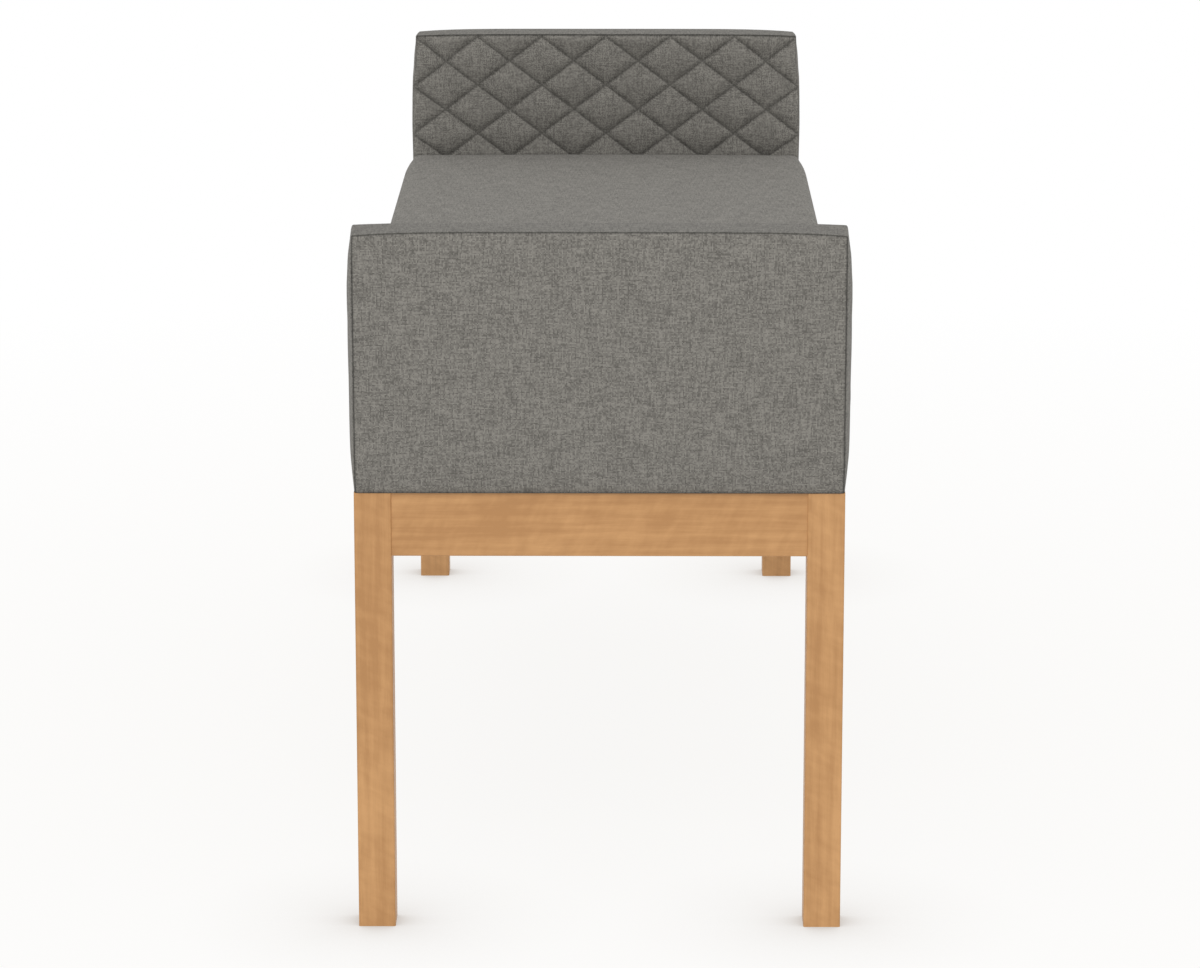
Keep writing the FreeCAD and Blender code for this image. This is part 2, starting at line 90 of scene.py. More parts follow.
def colour(name, text, value):
    """A linear colour that a user can set."""
    return FloatVectorProperty(
        name=name, description=text, default=value, size=3, min=0.0, max=1.0, subtype="COLOR"
    )


class BenchSeatSettings(bpy.types.PropertyGroup):
    """Sizes of the padded seat."""

    half_length: size("Half length", "Middle of the seat to its end", 0.5782)
    hem_height: size("Hem height", "Floor to the lower edge of the seat cover", 0.3762)
    hem_half_width: size("Hem half width", "Middle to the cover at its hem", 0.2032)
    top_height: size("Top height", "Floor to the top at the side, in the middle", 0.4702)
    side_bulge: size("Side bulge", "How far the side flares out at its top", 0.0099)
    end_bulge: size("End bulge", "How far the side flares out at the arms", 0.001)
    end_draw: size("End draw", "Length over which the side is drawn in at the arms", 0.115, 0.005)
    shoulder: size("Shoulder", "Radius where the side turns into the top", 0.008)
    width_crown: size("Crown across", "Rise of the top from side to middle", 0.0032)
    length_crown: size("Crown along", "Rise of the top from end to middle", 0.0012)
    end_drop: size("End drop", "How far the top rolls down at the arms", 0.011)
    end_roll: size("End roll", "Length over which the top rolls down", 0.015)
    inner_half_width: size("Inner half width", "Middle to the inside of the padding", 0.1982)
    foam_height: size("Foam height", "Floor to the underside of the foam", 0.4256)
    foot_reach: size("Foot reach", "How much further the ends reach under the quilted panels", 0.0018)
    foot_top: size("Foot top", "Floor to the top of those longer ends", 0.4245)
    step: size("Mesh step", "Spacing of the points on the cover", 0.008, 0.003)


class BenchArmSettings(bpy.types.PropertyGroup):
    """Sizes of the padded arms."""

    foot_height: size("Foot height", "Floor to the lower edge of the arm", 0.3762)
    half_width: size("Half width", "Middle to the side seam", 0.2012)
    top_height: size("Top height", "Floor to the top seam", 0.5968)
    corner_drop: size("Corner drop", "How much lower the seam is at a corner", 0.003)
    corner_rise: size("Corner rise", "How much higher a corner of the inner seam is", 0.0014)
    corner_round: size("Corner round", "Radius of the outline at a top corner", 0.0008)
    leg_face: size("Leg face", "Middle of the bench to the outside of a leg", 0.6095)
    inner_seam: size("Inner seam", "Middle of the bench to the inner seam", 0.5802)
    quilt_base: size("Quilt base", "Middle of the bench to the stitch lines", 0.5786)
    core_outer: size("Core outside", "Middle of the bench to the core's outside", 0.6078)
    core_inner: size("Core inside", "Middle of the bench to the core's inside", 0.5892)
    core_half_width: size("Core half width", "Middle to the core's edge", 0.1953)
    core_top: size("Core top", "Floor to the core's top edge", 0.5893)
    panel_crown: size("Panel crown", "How far the outer panel stands out", 0.0018)
    seam_depth: size("Seam depth", "Depth of the groove at a seam", 0.0016)
    seam_roll: size("Seam roll", "Width over which a panel rolls into the seam", 0.0032)
    quilt_start: size("Quilt start", "Floor to the lower edge of the quilted panel", 0.4258)
    quilt_columns: IntProperty(
        name="Quilt columns", description="Diamonds across the panel", default=6, min=2, max=12
    )
    quilt_row: size("Quilt row", "Height of one diamond", 0.0522, 0.01)
    quilt_widening: size("Quilt widening", "How far the pattern is drawn out at the sides", 0.0048)
    quilt_rise: size("Quilt rise", "How far a diamond stands out", 0.0054)
    quilt_steps: IntProperty(
        name="Quilt steps", description="Mesh steps along a diamond", default=28, min=8, max=60
    )
    stitch_pitch: size("Stitch pitch", "Distance from stitch to stitch", 0.0042, 0.001)
    stitch_length: size("Stitch length", "Length of a stitch that shows", 0.0031)
    thread_radius: size("Thread radius", "Half the thickness of the thread", 0.0003)
    step: size("Mesh step", "Spacing of the points on a panel", 0.0042, 0.002)


class BenchFinishSettings(bpy.types.PropertyGroup):
    """Colours of the bench and its stage."""

    fabric_pale: colour("Fabric pale", "Pale threads of the cover", (0.268, 0.256, 0.230))
    fabric_dark: colour("Fabric dark", "Dark threads of the cover", (0.128, 0.1215, 0.1095))
    thread: colour("Thread", "Sewing thread", (0.108, 0.103, 0.093))
    wood_pale: colour("Maple pale", "Pale grain of the base", (0.620, 0.336, 0.138))
    wood_dark: colour("Maple dark", "Dark grain of the base", (0.459, 0.231, 0.085))
    inner_pale: colour("Inner wood pale", "Pale grain of the rails", (0.62, 0.47, 0.30))
    inner_dark: colour("Inner wood dark", "Dark grain of the rails", (0.47, 0.33, 0.19))
    dust_cloth: colour("Dust cloth", "Cover under the seat", (0.022, 0.022, 0.023))
    webbing: colour("Webbing", "Straps under the seat", (0.16, 0.13, 0.09))
    steel: colour("Steel", "Screws, bolts and nuts", (0.56, 0.55, 0.53))
    floor: colour("Floor", "Floor of the stage", (0.974, 0.966, 0.953))
    light: share("Light", "Strength of the light near the horizon", 0.62, 0.0, 4.0)
    top_light: share("Top light", "Strength of the light from straight above", 1.0, 0.0, 4.0)
    key: share("Low box", "Power of the low soft box in watts", 62.0, 0.0, 1000.0)
    top_key: share("High box", "Power of the high soft box in watts", 132.0, 0.0, 1000.0)


class BenchSettings(bpy.types.PropertyGroup):
    """All that a user can set."""

    seat: PointerProperty(type=BenchSeatSettings)
    arm: PointerProperty(type=BenchArmSettings)
    finish: PointerProperty(type=BenchFinishSettings)


# Curves and grids


def smooth_curve(places, values):
    """A curve without overshoot through the given points."""
    x = np.asarray(places, float)
    y = np.asarray(values, float)
    gaps = np.diff(x)
    slopes = np.diff(y) / gaps
    tangents = np.zeros_like(y)
    tangents[0], tangents[-1] = slopes[0], slopes[-1]
    for i in range(1, len(x) - 1):
        if slopes[i - 1] * slopes[i] > 0:
            first = 2 * gaps[i] + gaps[i - 1]
            second = gaps[i] + 2 * gaps[i - 1]
            tangents[i] = (first + second) / (first / slopes[i - 1] + second / slopes[i])

    def at(place):
        place = np.clip(place, x[0], x[-1])
        i = np.clip(np.searchsorted(x, place, side="right") - 1, 0, len(x) - 2)
        t = (place - x[i]) / gaps[i]
        keep = (1 + 2 * t) * (1 - t) ** 2 * y[i] + t * (1 - t) ** 2 * gaps[i] * tangents[i]
        come = t**2 * (3 - 2 * t) * y[i + 1] + t**2 * (t - 1) * gaps[i] * tangents[i + 1]
        return keep + come

    return at


def near(distance, width):
    """1 at an edge, falling evenly to 0 at the given width."""
    return np.clip(1 - distance / width, 0, 1)


def eased(t):
    """0 to 1 with a soft start and a soft end."""
    t = np.clip(t, 0, 1)
    return t * t * (3 - 2 * t)


def rolled(distance, width):
    """1 at an edge, 0 from the given width on, with the round of a folded edge between."""
    return 1 - np.sqrt(np.maximum(1 - near(distance, width) ** 2, 0))


def spaced(low, high, step, fine=(), fine_low=True, fine_high=True):
    """Even places from low to high, with the fine distances added at the ends."""
    fine = np.asarray(fine, float)
    edge = fine[-1] if len(fine) else 0.0
    start = low + (edge if fine_low else 0.0)
    end = high - (edge if fine_high else 0.0)
    count = max(2, int(round((end - start) / step)) + 1)
    places = [np.linspace(start, end, count)]
    if fine_low and len(fine):
        places.insert(0, low + fine[:-1])
    if fine_high and len(fine):
        places.append(high - fine[:-1][::-1])
    return np.concatenate(places)


def lengths_along(points):
    """Distance along rows of points, from the first one."""
    steps = np.linalg.norm(np.diff(points, axis=0), axis=-1)
    return np.concatenate([[0.0], np.cumsum(steps)])


def grid_quads(rows, columns):
    """Faces of a grid whose points are stored row by row."""
    index = np.arange(rows * columns).reshape(rows, columns)
    return np.stack(
        [index[:-1, :-1], index[1:, :-1], index[1:, 1:], index[:-1, 1:]], axis=-1
    ).reshape(-1, 4)


def rim_of(rows, columns):
    """Points round the edge of a grid, in order."""
    index = np.arange(rows * columns).reshape(rows, columns)
    return np.concatenate([index[:, 0], index[-1, 1:], index[-2::-1, -1], index[0, -2:0:-1]])


def new_object(name, data):
    """Puts a mesh, a lamp or a camera in the scene under a name."""
    piece = bpy.data.objects.new(name, data)
    bpy.context.scene.collection.objects.link(piece)
    return piece


def split_along(quads, sewn):
    """Faces of a grid, with each quad that a line of sewn points crosses cut along that line."""
    marked = sewn.ravel()[quads]
    rising = marked[:, 1] & marked[:, 3]
    falling = marked[:, 0] & marked[:, 2] & ~rising
    plain = quads[~rising & ~falling].tolist()
    cuts = [quads[rising][:, (0, 1, 3)], quads[rising][:, (1, 2, 3)]]
    cuts += [quads[falling][:, (0, 1, 2)], quads[falling][:, (0, 2, 3)]]
    return plain + np.concatenate(cuts).tolist()


def padded_body(name, front, back, cloth_place, painted_shade, mirrored=False, sewn=None):
    """A closed pad: a front grid of points, a back grid with as many, and a wall round both.

    cloth_place is where each front point lies on the flat cloth, in metres, the shade mask is
    the painted shade on each front point, 1 where the cloth runs into a seam, and sewn marks the
    points on stitch lines.
    """
    rows, columns = front.shape[:2]
    count = rows * columns
    points = np.concatenate([front.reshape(-1, 3), back.reshape(-1, 3)])
    quads = grid_quads(rows, columns)
    rim = rim_of(rows, columns)
    ahead = np.roll(rim, -1)
    wall = np.stack([rim, rim + count, ahead + count, ahead], axis=-1)
    faces = np.concatenate([quads[:, ::-1] + count, wall[:, ::-1]]).tolist()
    faces += quads.tolist() if sewn is None else split_along(quads, sewn)
    if mirrored:
        points = points * np.array([-1.0, 1.0, 1.0])
        faces = [face[::-1] for face in faces]
    mesh = bpy.data.meshes.new(name)
    mesh.from_pydata(points.tolist(), [], faces)
    corners = np.zeros(len(mesh.loops), np.int32)
    mesh.loops.foreach_get("vertex_index", corners)
    flat = np.concatenate([cloth_place.reshape(-1, 2)] * 2)
    layer = mesh.uv_layers.new(name="cloth")
    layer.data.foreach_set("uv", flat[corners].astype(np.float32).ravel())
    # Painted shade for the cloth's material: the front carries its mask, and the back and the wall
    # are painted fully dark
    mark = mesh.attributes.new("painted_shade", "FLOAT", "POINT")
    marks = np.concatenate([painted_shade.ravel(), np.ones(count)])
    mark.data.foreach_set("value", marks.astype(np.float32))
    mesh.polygons.foreach_set("use_smooth", np.ones(len(mesh.polygons), bool))
    mesh.update()
    mesh.validate()
    return new_object(name, mesh)


def facing(front, wanted):
    """True if the grid's faces point the wanted way on the whole."""
    quads = grid_quads(*front.shape[:2])
    p = front.reshape(-1, 3)
    normals = np.cross(p[quads[:, 2]] - p[quads[:, 0]], p[quads[:, 3]] - p[quads[:, 1]])
    return float(normals.sum(axis=0) @ np.asarray(wanted, float)) > 0


def inflate(front, pins, pressure, cap):
    """Swells a grid of cloth under pressure, held where pins is true.

    No point moves further than about cap.
    """
    frames = 20
    flat = front.reshape(-1, 3)
    mesh = bpy.data.meshes.new("swelling")
    mesh.from_pydata(flat.tolist(), [], grid_quads(*front.shape[:2]).tolist())
    cloth_piece = new_object("swelling", mesh)
    held = cloth_piece.vertex_groups.new(name="held")
    held.add(np.flatnonzero(pins.ravel()).tolist(), 1.0, "REPLACE")
    cloth = cloth_piece.modifiers.new("cloth", "CLOTH")
    settings = cloth.settings
    settings.quality = 6
    settings.mass = 0.3
    settings.tension_stiffness = 30.0
    settings.compression_stiffness = 30.0
    settings.shear_stiffness = 12.0
    settings.bending_stiffness = 0.8
    settings.use_pressure = True
    settings.uniform_pressure_force = pressure
    settings.vertex_group_mass = "held"
    settings.effector_weights.gravity = 0.0
    cloth.collision_settings.use_collision = False
    cloth.collision_settings.use_self_collision = False
    cloth.point_cache.frame_start = 1
    cloth.point_cache.frame_end = frames
    scene = bpy.context.scene
    for number in range(1, frames + 1):
        scene.frame_set(number)
    graph = bpy.context.evaluated_depsgraph_get()
    swollen = cloth_piece.evaluated_get(graph).to_mesh()
    moved = np.zeros(len(flat) * 3, np.float32)
    swollen.vertices.foreach_get("co", moved)
    cloth_piece.evaluated_get(graph).to_mesh_clear()
    bpy.data.objects.remove(cloth_piece)
    bpy.data.meshes.remove(mesh)
    scene.frame_set(1)
    shift = moved.reshape(-1, 3).astype(float) - flat
    reach = np.linalg.norm(shift, axis=1, keepdims=True)
    shift *= cap * np.tanh(reach / cap) / np.maximum(reach, 1e-9)
    shift[pins.ravel()] = 0.0
    return (flat + shift).reshape(front.shape)


def finish_piece(piece, material, slot, *nodes):
    """Gives a piece its material and its place in the frame."""
    piece.data.materials.clear()
    piece.data.materials.append(material)
    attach(piece, "root")
    if nodes:
        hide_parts(*nodes)


# Shading


class Graph:
    """Adds nodes to a tree and joins them."""

    def __init__(self, tree):
        self.tree = tree

    def fill(self, node, values):
        """Gives a node's inputs, by name or number, their links or plain values."""
        for name, value in values.items():
            if isinstance(value, bpy.types.NodeSocket):
                self.tree.links.new(value, node.inputs[name])
            else:
                node.inputs[name].default_value = value

    def add(self, kind, values=None, **settings):
        """A new node with its settings and its inputs."""
        made = self.tree.nodes.new(kind)
        for name, value in settings.items():
            setattr(made, name, value)
        self.fill(made, values or {})
        return made

    def math(self, operation, *values):
        """The result of one sum."""
        return self.add("ShaderNodeMath", dict(enumerate(values)), operation=operation).outputs[0]

    def weighed(self, value, weight):
        """A value times a weight."""
        return self.math("MULTIPLY", value, weight)

    def noise(self, vector, spread, detail=2.0, rough=0.5, flat=False, offset=(0, 0, 0)):
        """Soft noise whose grains are spread wide, in metres along each axis."""
        scaled = self.add(
            "ShaderNodeVectorMath",
            {0: vector, 1: [1.0 / s if s else 0.0 for s in spread], 2: list(offset)},
            operation="MULTIPLY_ADD",
        ).outputs[0]
        return self.add(
            "ShaderNodeTexNoise",
            {"Vector": scaled, "Scale": 1.0, "Detail": detail, "Roughness": rough},
            noise_dimensions="2D" if flat else "3D",
        ).outputs["Fac"]

    def remap(self, value, low, high, to_low=0.0, to_high=1.0):
        """A value moved from one range to another, and kept inside it."""
        return self.add(
            "ShaderNodeMapRange",
            {"Value": value, "From Min": low, "From Max": high, "To Min": to_low, "To Max": to_high},
        ).outputs["Result"]

    def mix(self, factor, first, second, blend="MIX"):
        """Two colours mixed."""
        values = {0: factor, 6: first, 7: second}
        return self.add("ShaderNodeMix", values, data_type="RGBA", blend_type=blend).outputs[2]

    def seen(self):
        """1 for rays from the camera, straight or by way of a mirror or glass."""
        rays = self.add("ShaderNodeLightPath").outputs
        direct = self.math("MAXIMUM", rays["Is Camera Ray"], rays["Is Glossy Ray"])
        return self.math("MAXIMUM", direct, rays["Is Transmission Ray"])


def new_group(name, inputs, outputs):
    """A shader node group with named sockets."""
    tree = bpy.data.node_groups.new(name, "ShaderNodeTree")
    for label, kind in inputs:
        tree.interface.new_socket(label, in_out="INPUT", socket_type=kind)
    for label, kind in outputs:
        tree.interface.new_socket(label, in_out="OUTPUT", socket_type=kind)
    graph = Graph(tree)
    return graph, graph.add("NodeGroupInput").outputs, graph.add("NodeGroupOutput")


def weave_group():
    """Plain woven cloth with slubs both ways, laid out in metres on the cloth, darkened by painted
    shade from its shade input.
    """
    if "woven_cloth" in bpy.data.node_groups:
        return bpy.data.node_groups["woven_cloth"]
    graph, given, out = new_group(
        "woven_cloth",
        [
            ("Place", "NodeSocketVector"),
            ("Pale", "NodeSocketColor"),
            ("Dark", "NodeSocketColor"),
            ("Painted shade", "NodeSocketFloat"),
        ],
        [("Color", "NodeSocketColor"), ("Height", "NodeSocketFloat")],
    )
    place = given["Place"]
    thread = 0.00105
    slub = 0.022
    patch_size = 0.03
    first_numbers = (0.0, 400.0)
    slub_shift = 300.0
    speck_weight = 0.8
    patch_weight = 0.15
    darkest, palest = 1.02, 1.93
    full_painted_shade = 0.3
    net_height = 0.25
    slub_height = 0.8
    split = graph.add("ShaderNodeSeparateXYZ", {0: place}).outputs
    counts = []
    threads = []
    waves = []
    for side, number in enumerate(first_numbers):
        count = graph.math("FLOOR", graph.math("DIVIDE", split[side], thread))
        counts.append(count)
        shift = graph.add(
            "ShaderNodeTexWhiteNoise", {"W": graph.math("ADD", count, number)}, noise_dimensions="1D"
        ).outputs["Value"]
        run = graph.math("DIVIDE", split[1 - side], slub)
        run = graph.math("ADD", run, graph.weighed(shift, slub_shift))
        tint = graph.add(
            "ShaderNodeTexNoise", {"W": run, "Scale": 1.0, "Detail": 2.0}, noise_dimensions="1D"
        )
        threads.append(tint.outputs["Fac"])
        waves.append(graph.math("SINE", graph.weighed(split[side], 2 * math.pi / thread)))
    cell = graph.add("ShaderNodeCombineXYZ", {0: counts[0], 1: counts[1]}).outputs[0]
    speck = graph.add("ShaderNodeTexWhiteNoise", {"Vector": cell}, noise_dimensions="2D")
    patch = graph.noise(place, (patch_size, patch_size, 0), 2.0, 0.5, True, (5.0, 11.0, 0))
    both = graph.math("ADD", *threads)
    tone = graph.math("ADD", both, graph.weighed(speck.outputs["Value"], speck_weight))
    tone = graph.math("ADD", tone, graph.weighed(patch, patch_weight))
    tone = graph.remap(tone, darkest, palest)
    cloth = graph.mix(tone, given["Dark"], given["Pale"])
    # Painted shade: the cloth's colour is multiplied down towards the darkest painted shade value
    # where the shade input reaches 1
    shade = graph.remap(given["Painted shade"], 0.0, 1.0, 1.0, full_painted_shade)
    grey = graph.add("ShaderNodeCombineColor", {0: shade, 1: shade, 2: shade}).outputs[0]
    net = graph.weighed(graph.math("ADD", *waves), net_height)
    height = graph.math("ADD", net, graph.weighed(both, slub_height))
    graph.fill(out, {"Color": graph.mix(1.0, cloth, grey, "MULTIPLY"), "Height": height})
    return graph.tree


def grain_group():
    """Wood with its grain along Z, laid out in metres."""
    if "wood_grain" in bpy.data.node_groups:
        return bpy.data.node_groups["wood_grain"]
    graph, given, out = new_group(
        "wood_grain",
        [
            ("Place", "NodeSocketVector"),
            ("Pale", "NodeSocketColor"),
            ("Dark", "NodeSocketColor"),
            ("Figure", "NodeSocketFloat"),
        ],
        [
            ("Color", "NodeSocketColor"),
            ("Roughness", "NodeSocketFloat"),
            ("Height", "NodeSocketFloat"),
        ],
    )
    place = given["Place"]
    sway_size, sway = (0.05, 0.05, 0.16), 0.02
    streak_size, streak_weight = (0.006, 0.006, 0.16), 0.6
    blush_size, blush_weight = (0.07, 0.07, 0.2), 0.6
    pore_size, pore_weight = (0.0007, 0.0007, 0.012), 0.12
    curl_size, curl_axis, curl_lean = (0.022, 0.022, 0.008), (0.5, 0.8, 0.2), 0.75
    darkest, palest = 0.50, 0.86
    smooth, rough = 0.38, 0.5
    wander = graph.weighed(graph.noise(place, sway_size, 1.0), sway)
    aside = graph.add("ShaderNodeCombineXYZ", {0: wander}).outputs[0]
    bent = graph.add("ShaderNodeVectorMath", {0: place, 1: aside}, operation="ADD").outputs[0]
    streak = graph.noise(bent, streak_size, 3.0, 0.55)
    pore = graph.noise(bent, pore_size, 1.0)
    leaned = graph.add(
        "ShaderNodeVectorRotate", {"Vector": place, "Axis": curl_axis, "Angle": curl_lean},
        rotation_type="AXIS_ANGLE",
    ).outputs[0]
    curl = graph.math("SUBTRACT", graph.noise(leaned, curl_size, 2.0, 0.5), 0.5)
    blush = graph.noise(place, blush_size, 2.0)
    tone = graph.math("ADD", graph.weighed(streak, streak_weight), graph.weighed(blush, blush_weight))
    tone = graph.math("ADD", tone, graph.weighed(curl, given["Figure"]))
    tone = graph.math("ADD", tone, graph.weighed(pore, pore_weight))
    tone = graph.remap(tone, darkest, palest)
    graph.fill(
        out,
        {
            "Color": graph.mix(tone, given["Dark"], given["Pale"]),
            "Roughness": graph.remap(streak, 0.3, 0.7, smooth, rough),
            "Height": pore,
        },
    )
    return graph.tree


def new_material(name):
    """A material with one Principled shader, and the graph to fill it with."""
    material = bpy.data.materials.new(name)
    material.use_nodes = True
    graph = Graph(material.node_tree)
    shader = next(n for n in material.node_tree.nodes if n.type == "BSDF_PRINCIPLED")
    return material, graph, shader


def fabric_material():
    """Grey heathered weave, with painted shade taken from the mesh's shade attribute."""
    if "cover_fabric" in bpy.data.materials:
        return bpy.data.materials["cover_fabric"]
    finish = bpy.context.scene.bench.finish
    material, graph, shader = new_material("cover_fabric")
    weave = graph.add(
        "ShaderNodeGroup",
        {
            "Place": graph.add("ShaderNodeUVMap", uv_map="cloth").outputs[0],
            # Painted shade stored on the mesh, darkening the cloth at seams, stitch lines and hems
            "Painted shade": graph.add("ShaderNodeAttribute", attribute_name="painted_shade").outputs["Fac"],
            "Pale": (*finish.fabric_pale, 1),
            "Dark": (*finish.fabric_dark, 1),
        },
        node_tree=weave_group(),
    ).outputs
    bump = graph.add(
        "ShaderNodeBump", {"Height": weave["Height"], "Strength": 0.35, "Distance": 0.0004}
    )
    graph.fill(
        shader,
        {
            "Base Color": weave["Color"],
            "Normal": bump.outputs[0],
            "Roughness": 0.95,
            "Specular IOR Level": 0.15,
            "Sheen Weight": 0.08,
            "Sheen Roughness": 0.5,
        },
    )
    return material


def wood_material(name, turn, pale, dark, figure, shine):
    """Wood whose grain runs along the piece, turned from Z by turn."""
    material, graph, shader = new_material(name)
    place = graph.add("ShaderNodeTexCoord").outputs["Object"]
    turned = graph.add("ShaderNodeMapping", {"Vector": place, "Rotation": turn}).outputs[0]
    wood = graph.add(
        "ShaderNodeGroup",
        {"Place": turned, "Pale": (*pale, 1), "Dark": (*dark, 1), "Figure": figure},
        node_tree=grain_group(),
    ).outputs
    bump = graph.add(
        "ShaderNodeBump", {"Height": wood["Height"], "Strength": 0.06, "Distance": 0.0002}
    )
    graph.fill(
        shader,
        {
            "Base Color": wood["Color"],
            "Roughness": wood["Roughness"],
            "Normal": bump.outputs[0],
            "Specular IOR Level": shine,
        },
    )
    return material


def speckled_material(name, tone, rough, metal=0.0, grain=0.004):
    """A plain finish with slight changes of tone."""
    material, graph, shader = new_material(name)
    place = graph.add("ShaderNodeTexCoord").outputs["Object"]
    spot = graph.noise(place, (grain, grain, grain), 3.0)
    dark = [0.82 * c for c in tone]
    pale = [min(1.0, 1.12 * c) for c in tone]
    least, most = 0.3, 0.7
    graph.fill(
        shader,
        {
            "Base Color": graph.mix(graph.remap(spot, least, most), (*dark, 1), (*pale, 1)),
            "Roughness": graph.remap(spot, least, most, max(0.0, rough - 0.06), rough + 0.05),
            "Metallic": metal,
        },
    )
    return material


def paint(nodes, material):
    """Gives CAD nodes a material."""
    for name in nodes:
        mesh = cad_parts[name].data
        mesh.materials.clear()
        mesh.materials.append(material)


# Forms

# Widths of the painted shade lines where cloth runs into a seam or a hem, in metres
PANEL_LINE = 0.0011
BORDER_LINE = 0.001
HEM_LINE = 0.0024
# Share of the full painted shade on the upright inner seams
SIDE_SEAM_SHARE = 0.25
# Powers of the curves that bend the seams near the top corners
CORNER_POWER = 6
CORNER_HEIGHT_POWER = 12


def seat_front(seat):
    """Points of the seat cover from hem to hem, and their places on the cloth."""
    fine = [0.0, 0.0007, 0.0018, 0.0035, 0.006, 0.009, 0.0125, 0.017, 0.023]
    side_points, turn_points, top_points = 15, 9, 51
    flare_share = 0.88
    end_flat_share = 0.75
    reach_run = 0.02
    reach_fade = 0.004
    along = spaced(-seat.half_length, seat.half_length, seat.step, fine)
    side_steps = np.linspace(0, 1, side_points)
    turn_steps = np.linspace(0, math.pi / 2, turn_points)[1:]
    top_steps = np.linspace(1, -1, top_points)[1:-1]
    rows = []
    for x in along:
        share_along = x / seat.half_length
        to_end = seat.half_length - abs(x)
        roll = rolled(np.array(to_end), seat.end_roll)
        drawn = rolled(np.array(to_end), seat.end_draw)
        bulge = seat.side_bulge - (seat.side_bulge - seat.end_bulge) * drawn
        edge = seat.top_height - seat.length_crown * share_along**2 - seat.end_drop * roll
        turn_start = edge - seat.shoulder
        z = seat.hem_height + side_steps * (turn_start - seat.hem_height)
        flare = side_steps * (1 + flare_share * (1 - side_steps))
        y = seat.hem_half_width + bulge * flare
        turn_y = y[-1] - seat.shoulder * (1 - np.cos(turn_steps))
        turn_z = turn_start + seat.shoulder * np.sin(turn_steps)
        top_y = top_steps * turn_y[-1]
        crown = seat.width_crown * (1 - top_steps**2)
        top_z = edge + crown * (1 - end_flat_share * share_along**4)
        half_y = np.concatenate([y, turn_y])
        half_z = np.concatenate([z, turn_z])
        ring_y = np.concatenate([half_y, top_y, -half_y[::-1]])
        ring_z = np.concatenate([half_z, top_z, half_z[::-1]])
        rows.append(np.stack([np.full_like(ring_y, x), ring_y, ring_z], axis=1))
    front = np.array(rows)
    near_end = near(seat.half_length - np.abs(front[..., 0]), reach_run)
    under = np.clip((seat.foot_top - front[..., 2]) / reach_fade, 0, 1)
    front[..., 0] += np.sign(front[..., 0]) * seat.foot_reach * near_end * under
    across = lengths_along(front[len(rows) // 2])
    across -= across.mean()
    place = np.stack(np.broadcast_arrays(along[:, None], across[None, :]), axis=-1)
    return front, place


def seat_back(seat, front):
    """The inside of the seat's padding: round the rails and flat on the webbing."""
    corners = [
        (seat.inner_half_width, seat.hem_height),
        (seat.inner_half_width, seat.foam_height),
        (-seat.inner_half_width, seat.foam_height),
        (-seat.inner_half_width, seat.hem_height),
    ]
    corners = np.array(corners)
    reach = lengths_along(corners)
    outer = lengths_along(front[len(front) // 2])
    places = outer / outer[-1] * reach[-1]
    back = front.copy()
    back[..., 1] = np.interp(places, reach, corners[:, 0])[None, :]
    back[..., 2] = np.interp(places, reach, corners[:, 1])[None, :]
    return back


def outline_top(arm, y):
    """Height of the top seam at y."""
    return arm.top_height - arm.corner_drop * np.abs(y / arm.half_width) ** CORNER_POWER


def corner_lift(arm, y, z):
    """How much higher the inner seam is than the outer one, near the top corners."""
    share_up = (z - arm.foot_height) / (outline_top(arm, y) - arm.foot_height)
    share_out = np.abs(y / arm.half_width) ** CORNER_POWER
    return arm.corner_rise * share_out * np.clip(share_up, 0, 1) ** CORNER_HEIGHT_POWER


def widening(arm, z):
    """How much further out the inner seam lies than the outer one, at a height."""
    heights = np.array([0, 8, 17, 29, 45, 90, 124, 150, 173, 185, 194.5, 203, 210.6, 218, 222]) / 1000
    gains = [0.8, 2.6, 3.6, 4.6, 5.0, 5.3, 5.8, 5.2, 4.0, 2.3, 1.5, 1.4, 1.5, 1.6, 1.6]
    gains = np.array(gains) / 1000
    return smooth_curve(heights, gains)(z - arm.foot_height)


def spread(arm, y, z):
    """Moves points from the outline of the outer seam to that of the inner seam."""
    full = arm.quilt_widening
    outer_share = 0.25
    share_out = np.abs(y) / arm.half_width
    edge = eased((share_out - 1) / outer_share + 1)
    return y + np.sign(y) * (full * share_out - (full - widening(arm, z)) * edge)


def rounded(arm, y, z):
    """Moves points near the top corners so that the outline is round there."""
    over_y = np.abs(y) - (arm.half_width - arm.corner_round)
    over_z = z - (outline_top(arm, y) - arm.corner_round)
    both = (over_y > 0) & (over_z > 0)
    a = np.maximum(over_y, 0)
    c = np.maximum(over_z, 0)
    pull = np.where(both, np.maximum(a, c) / np.maximum(np.hypot(a, c), 1e-9), 1.0)
    new_y = np.where(both, np.sign(y) * (arm.half_width - arm.corner_round + a * pull), y)
    new_z = np.where(both, z - c * (1 - pull), z)
    edge_y = arm.half_width - np.abs(y)
    edge_z = outline_top(arm, y) - z
    return new_y, new_z, np.minimum(edge_y, edge_z)


def overhang(arm, z):
    """Distance from the middle of the bench to the outer panel at its side seam."""
    heights = np.array([0, 5, 12, 26, 60, 110, 165, 221]) / 1000
    reach = np.array([1.0, 4.6, 7.6, 10.0, 12.4, 14.4, 15.6, 16.2]) / 1000
    return arm.leg_face + smooth_curve(heights, reach)(z - arm.foot_height)


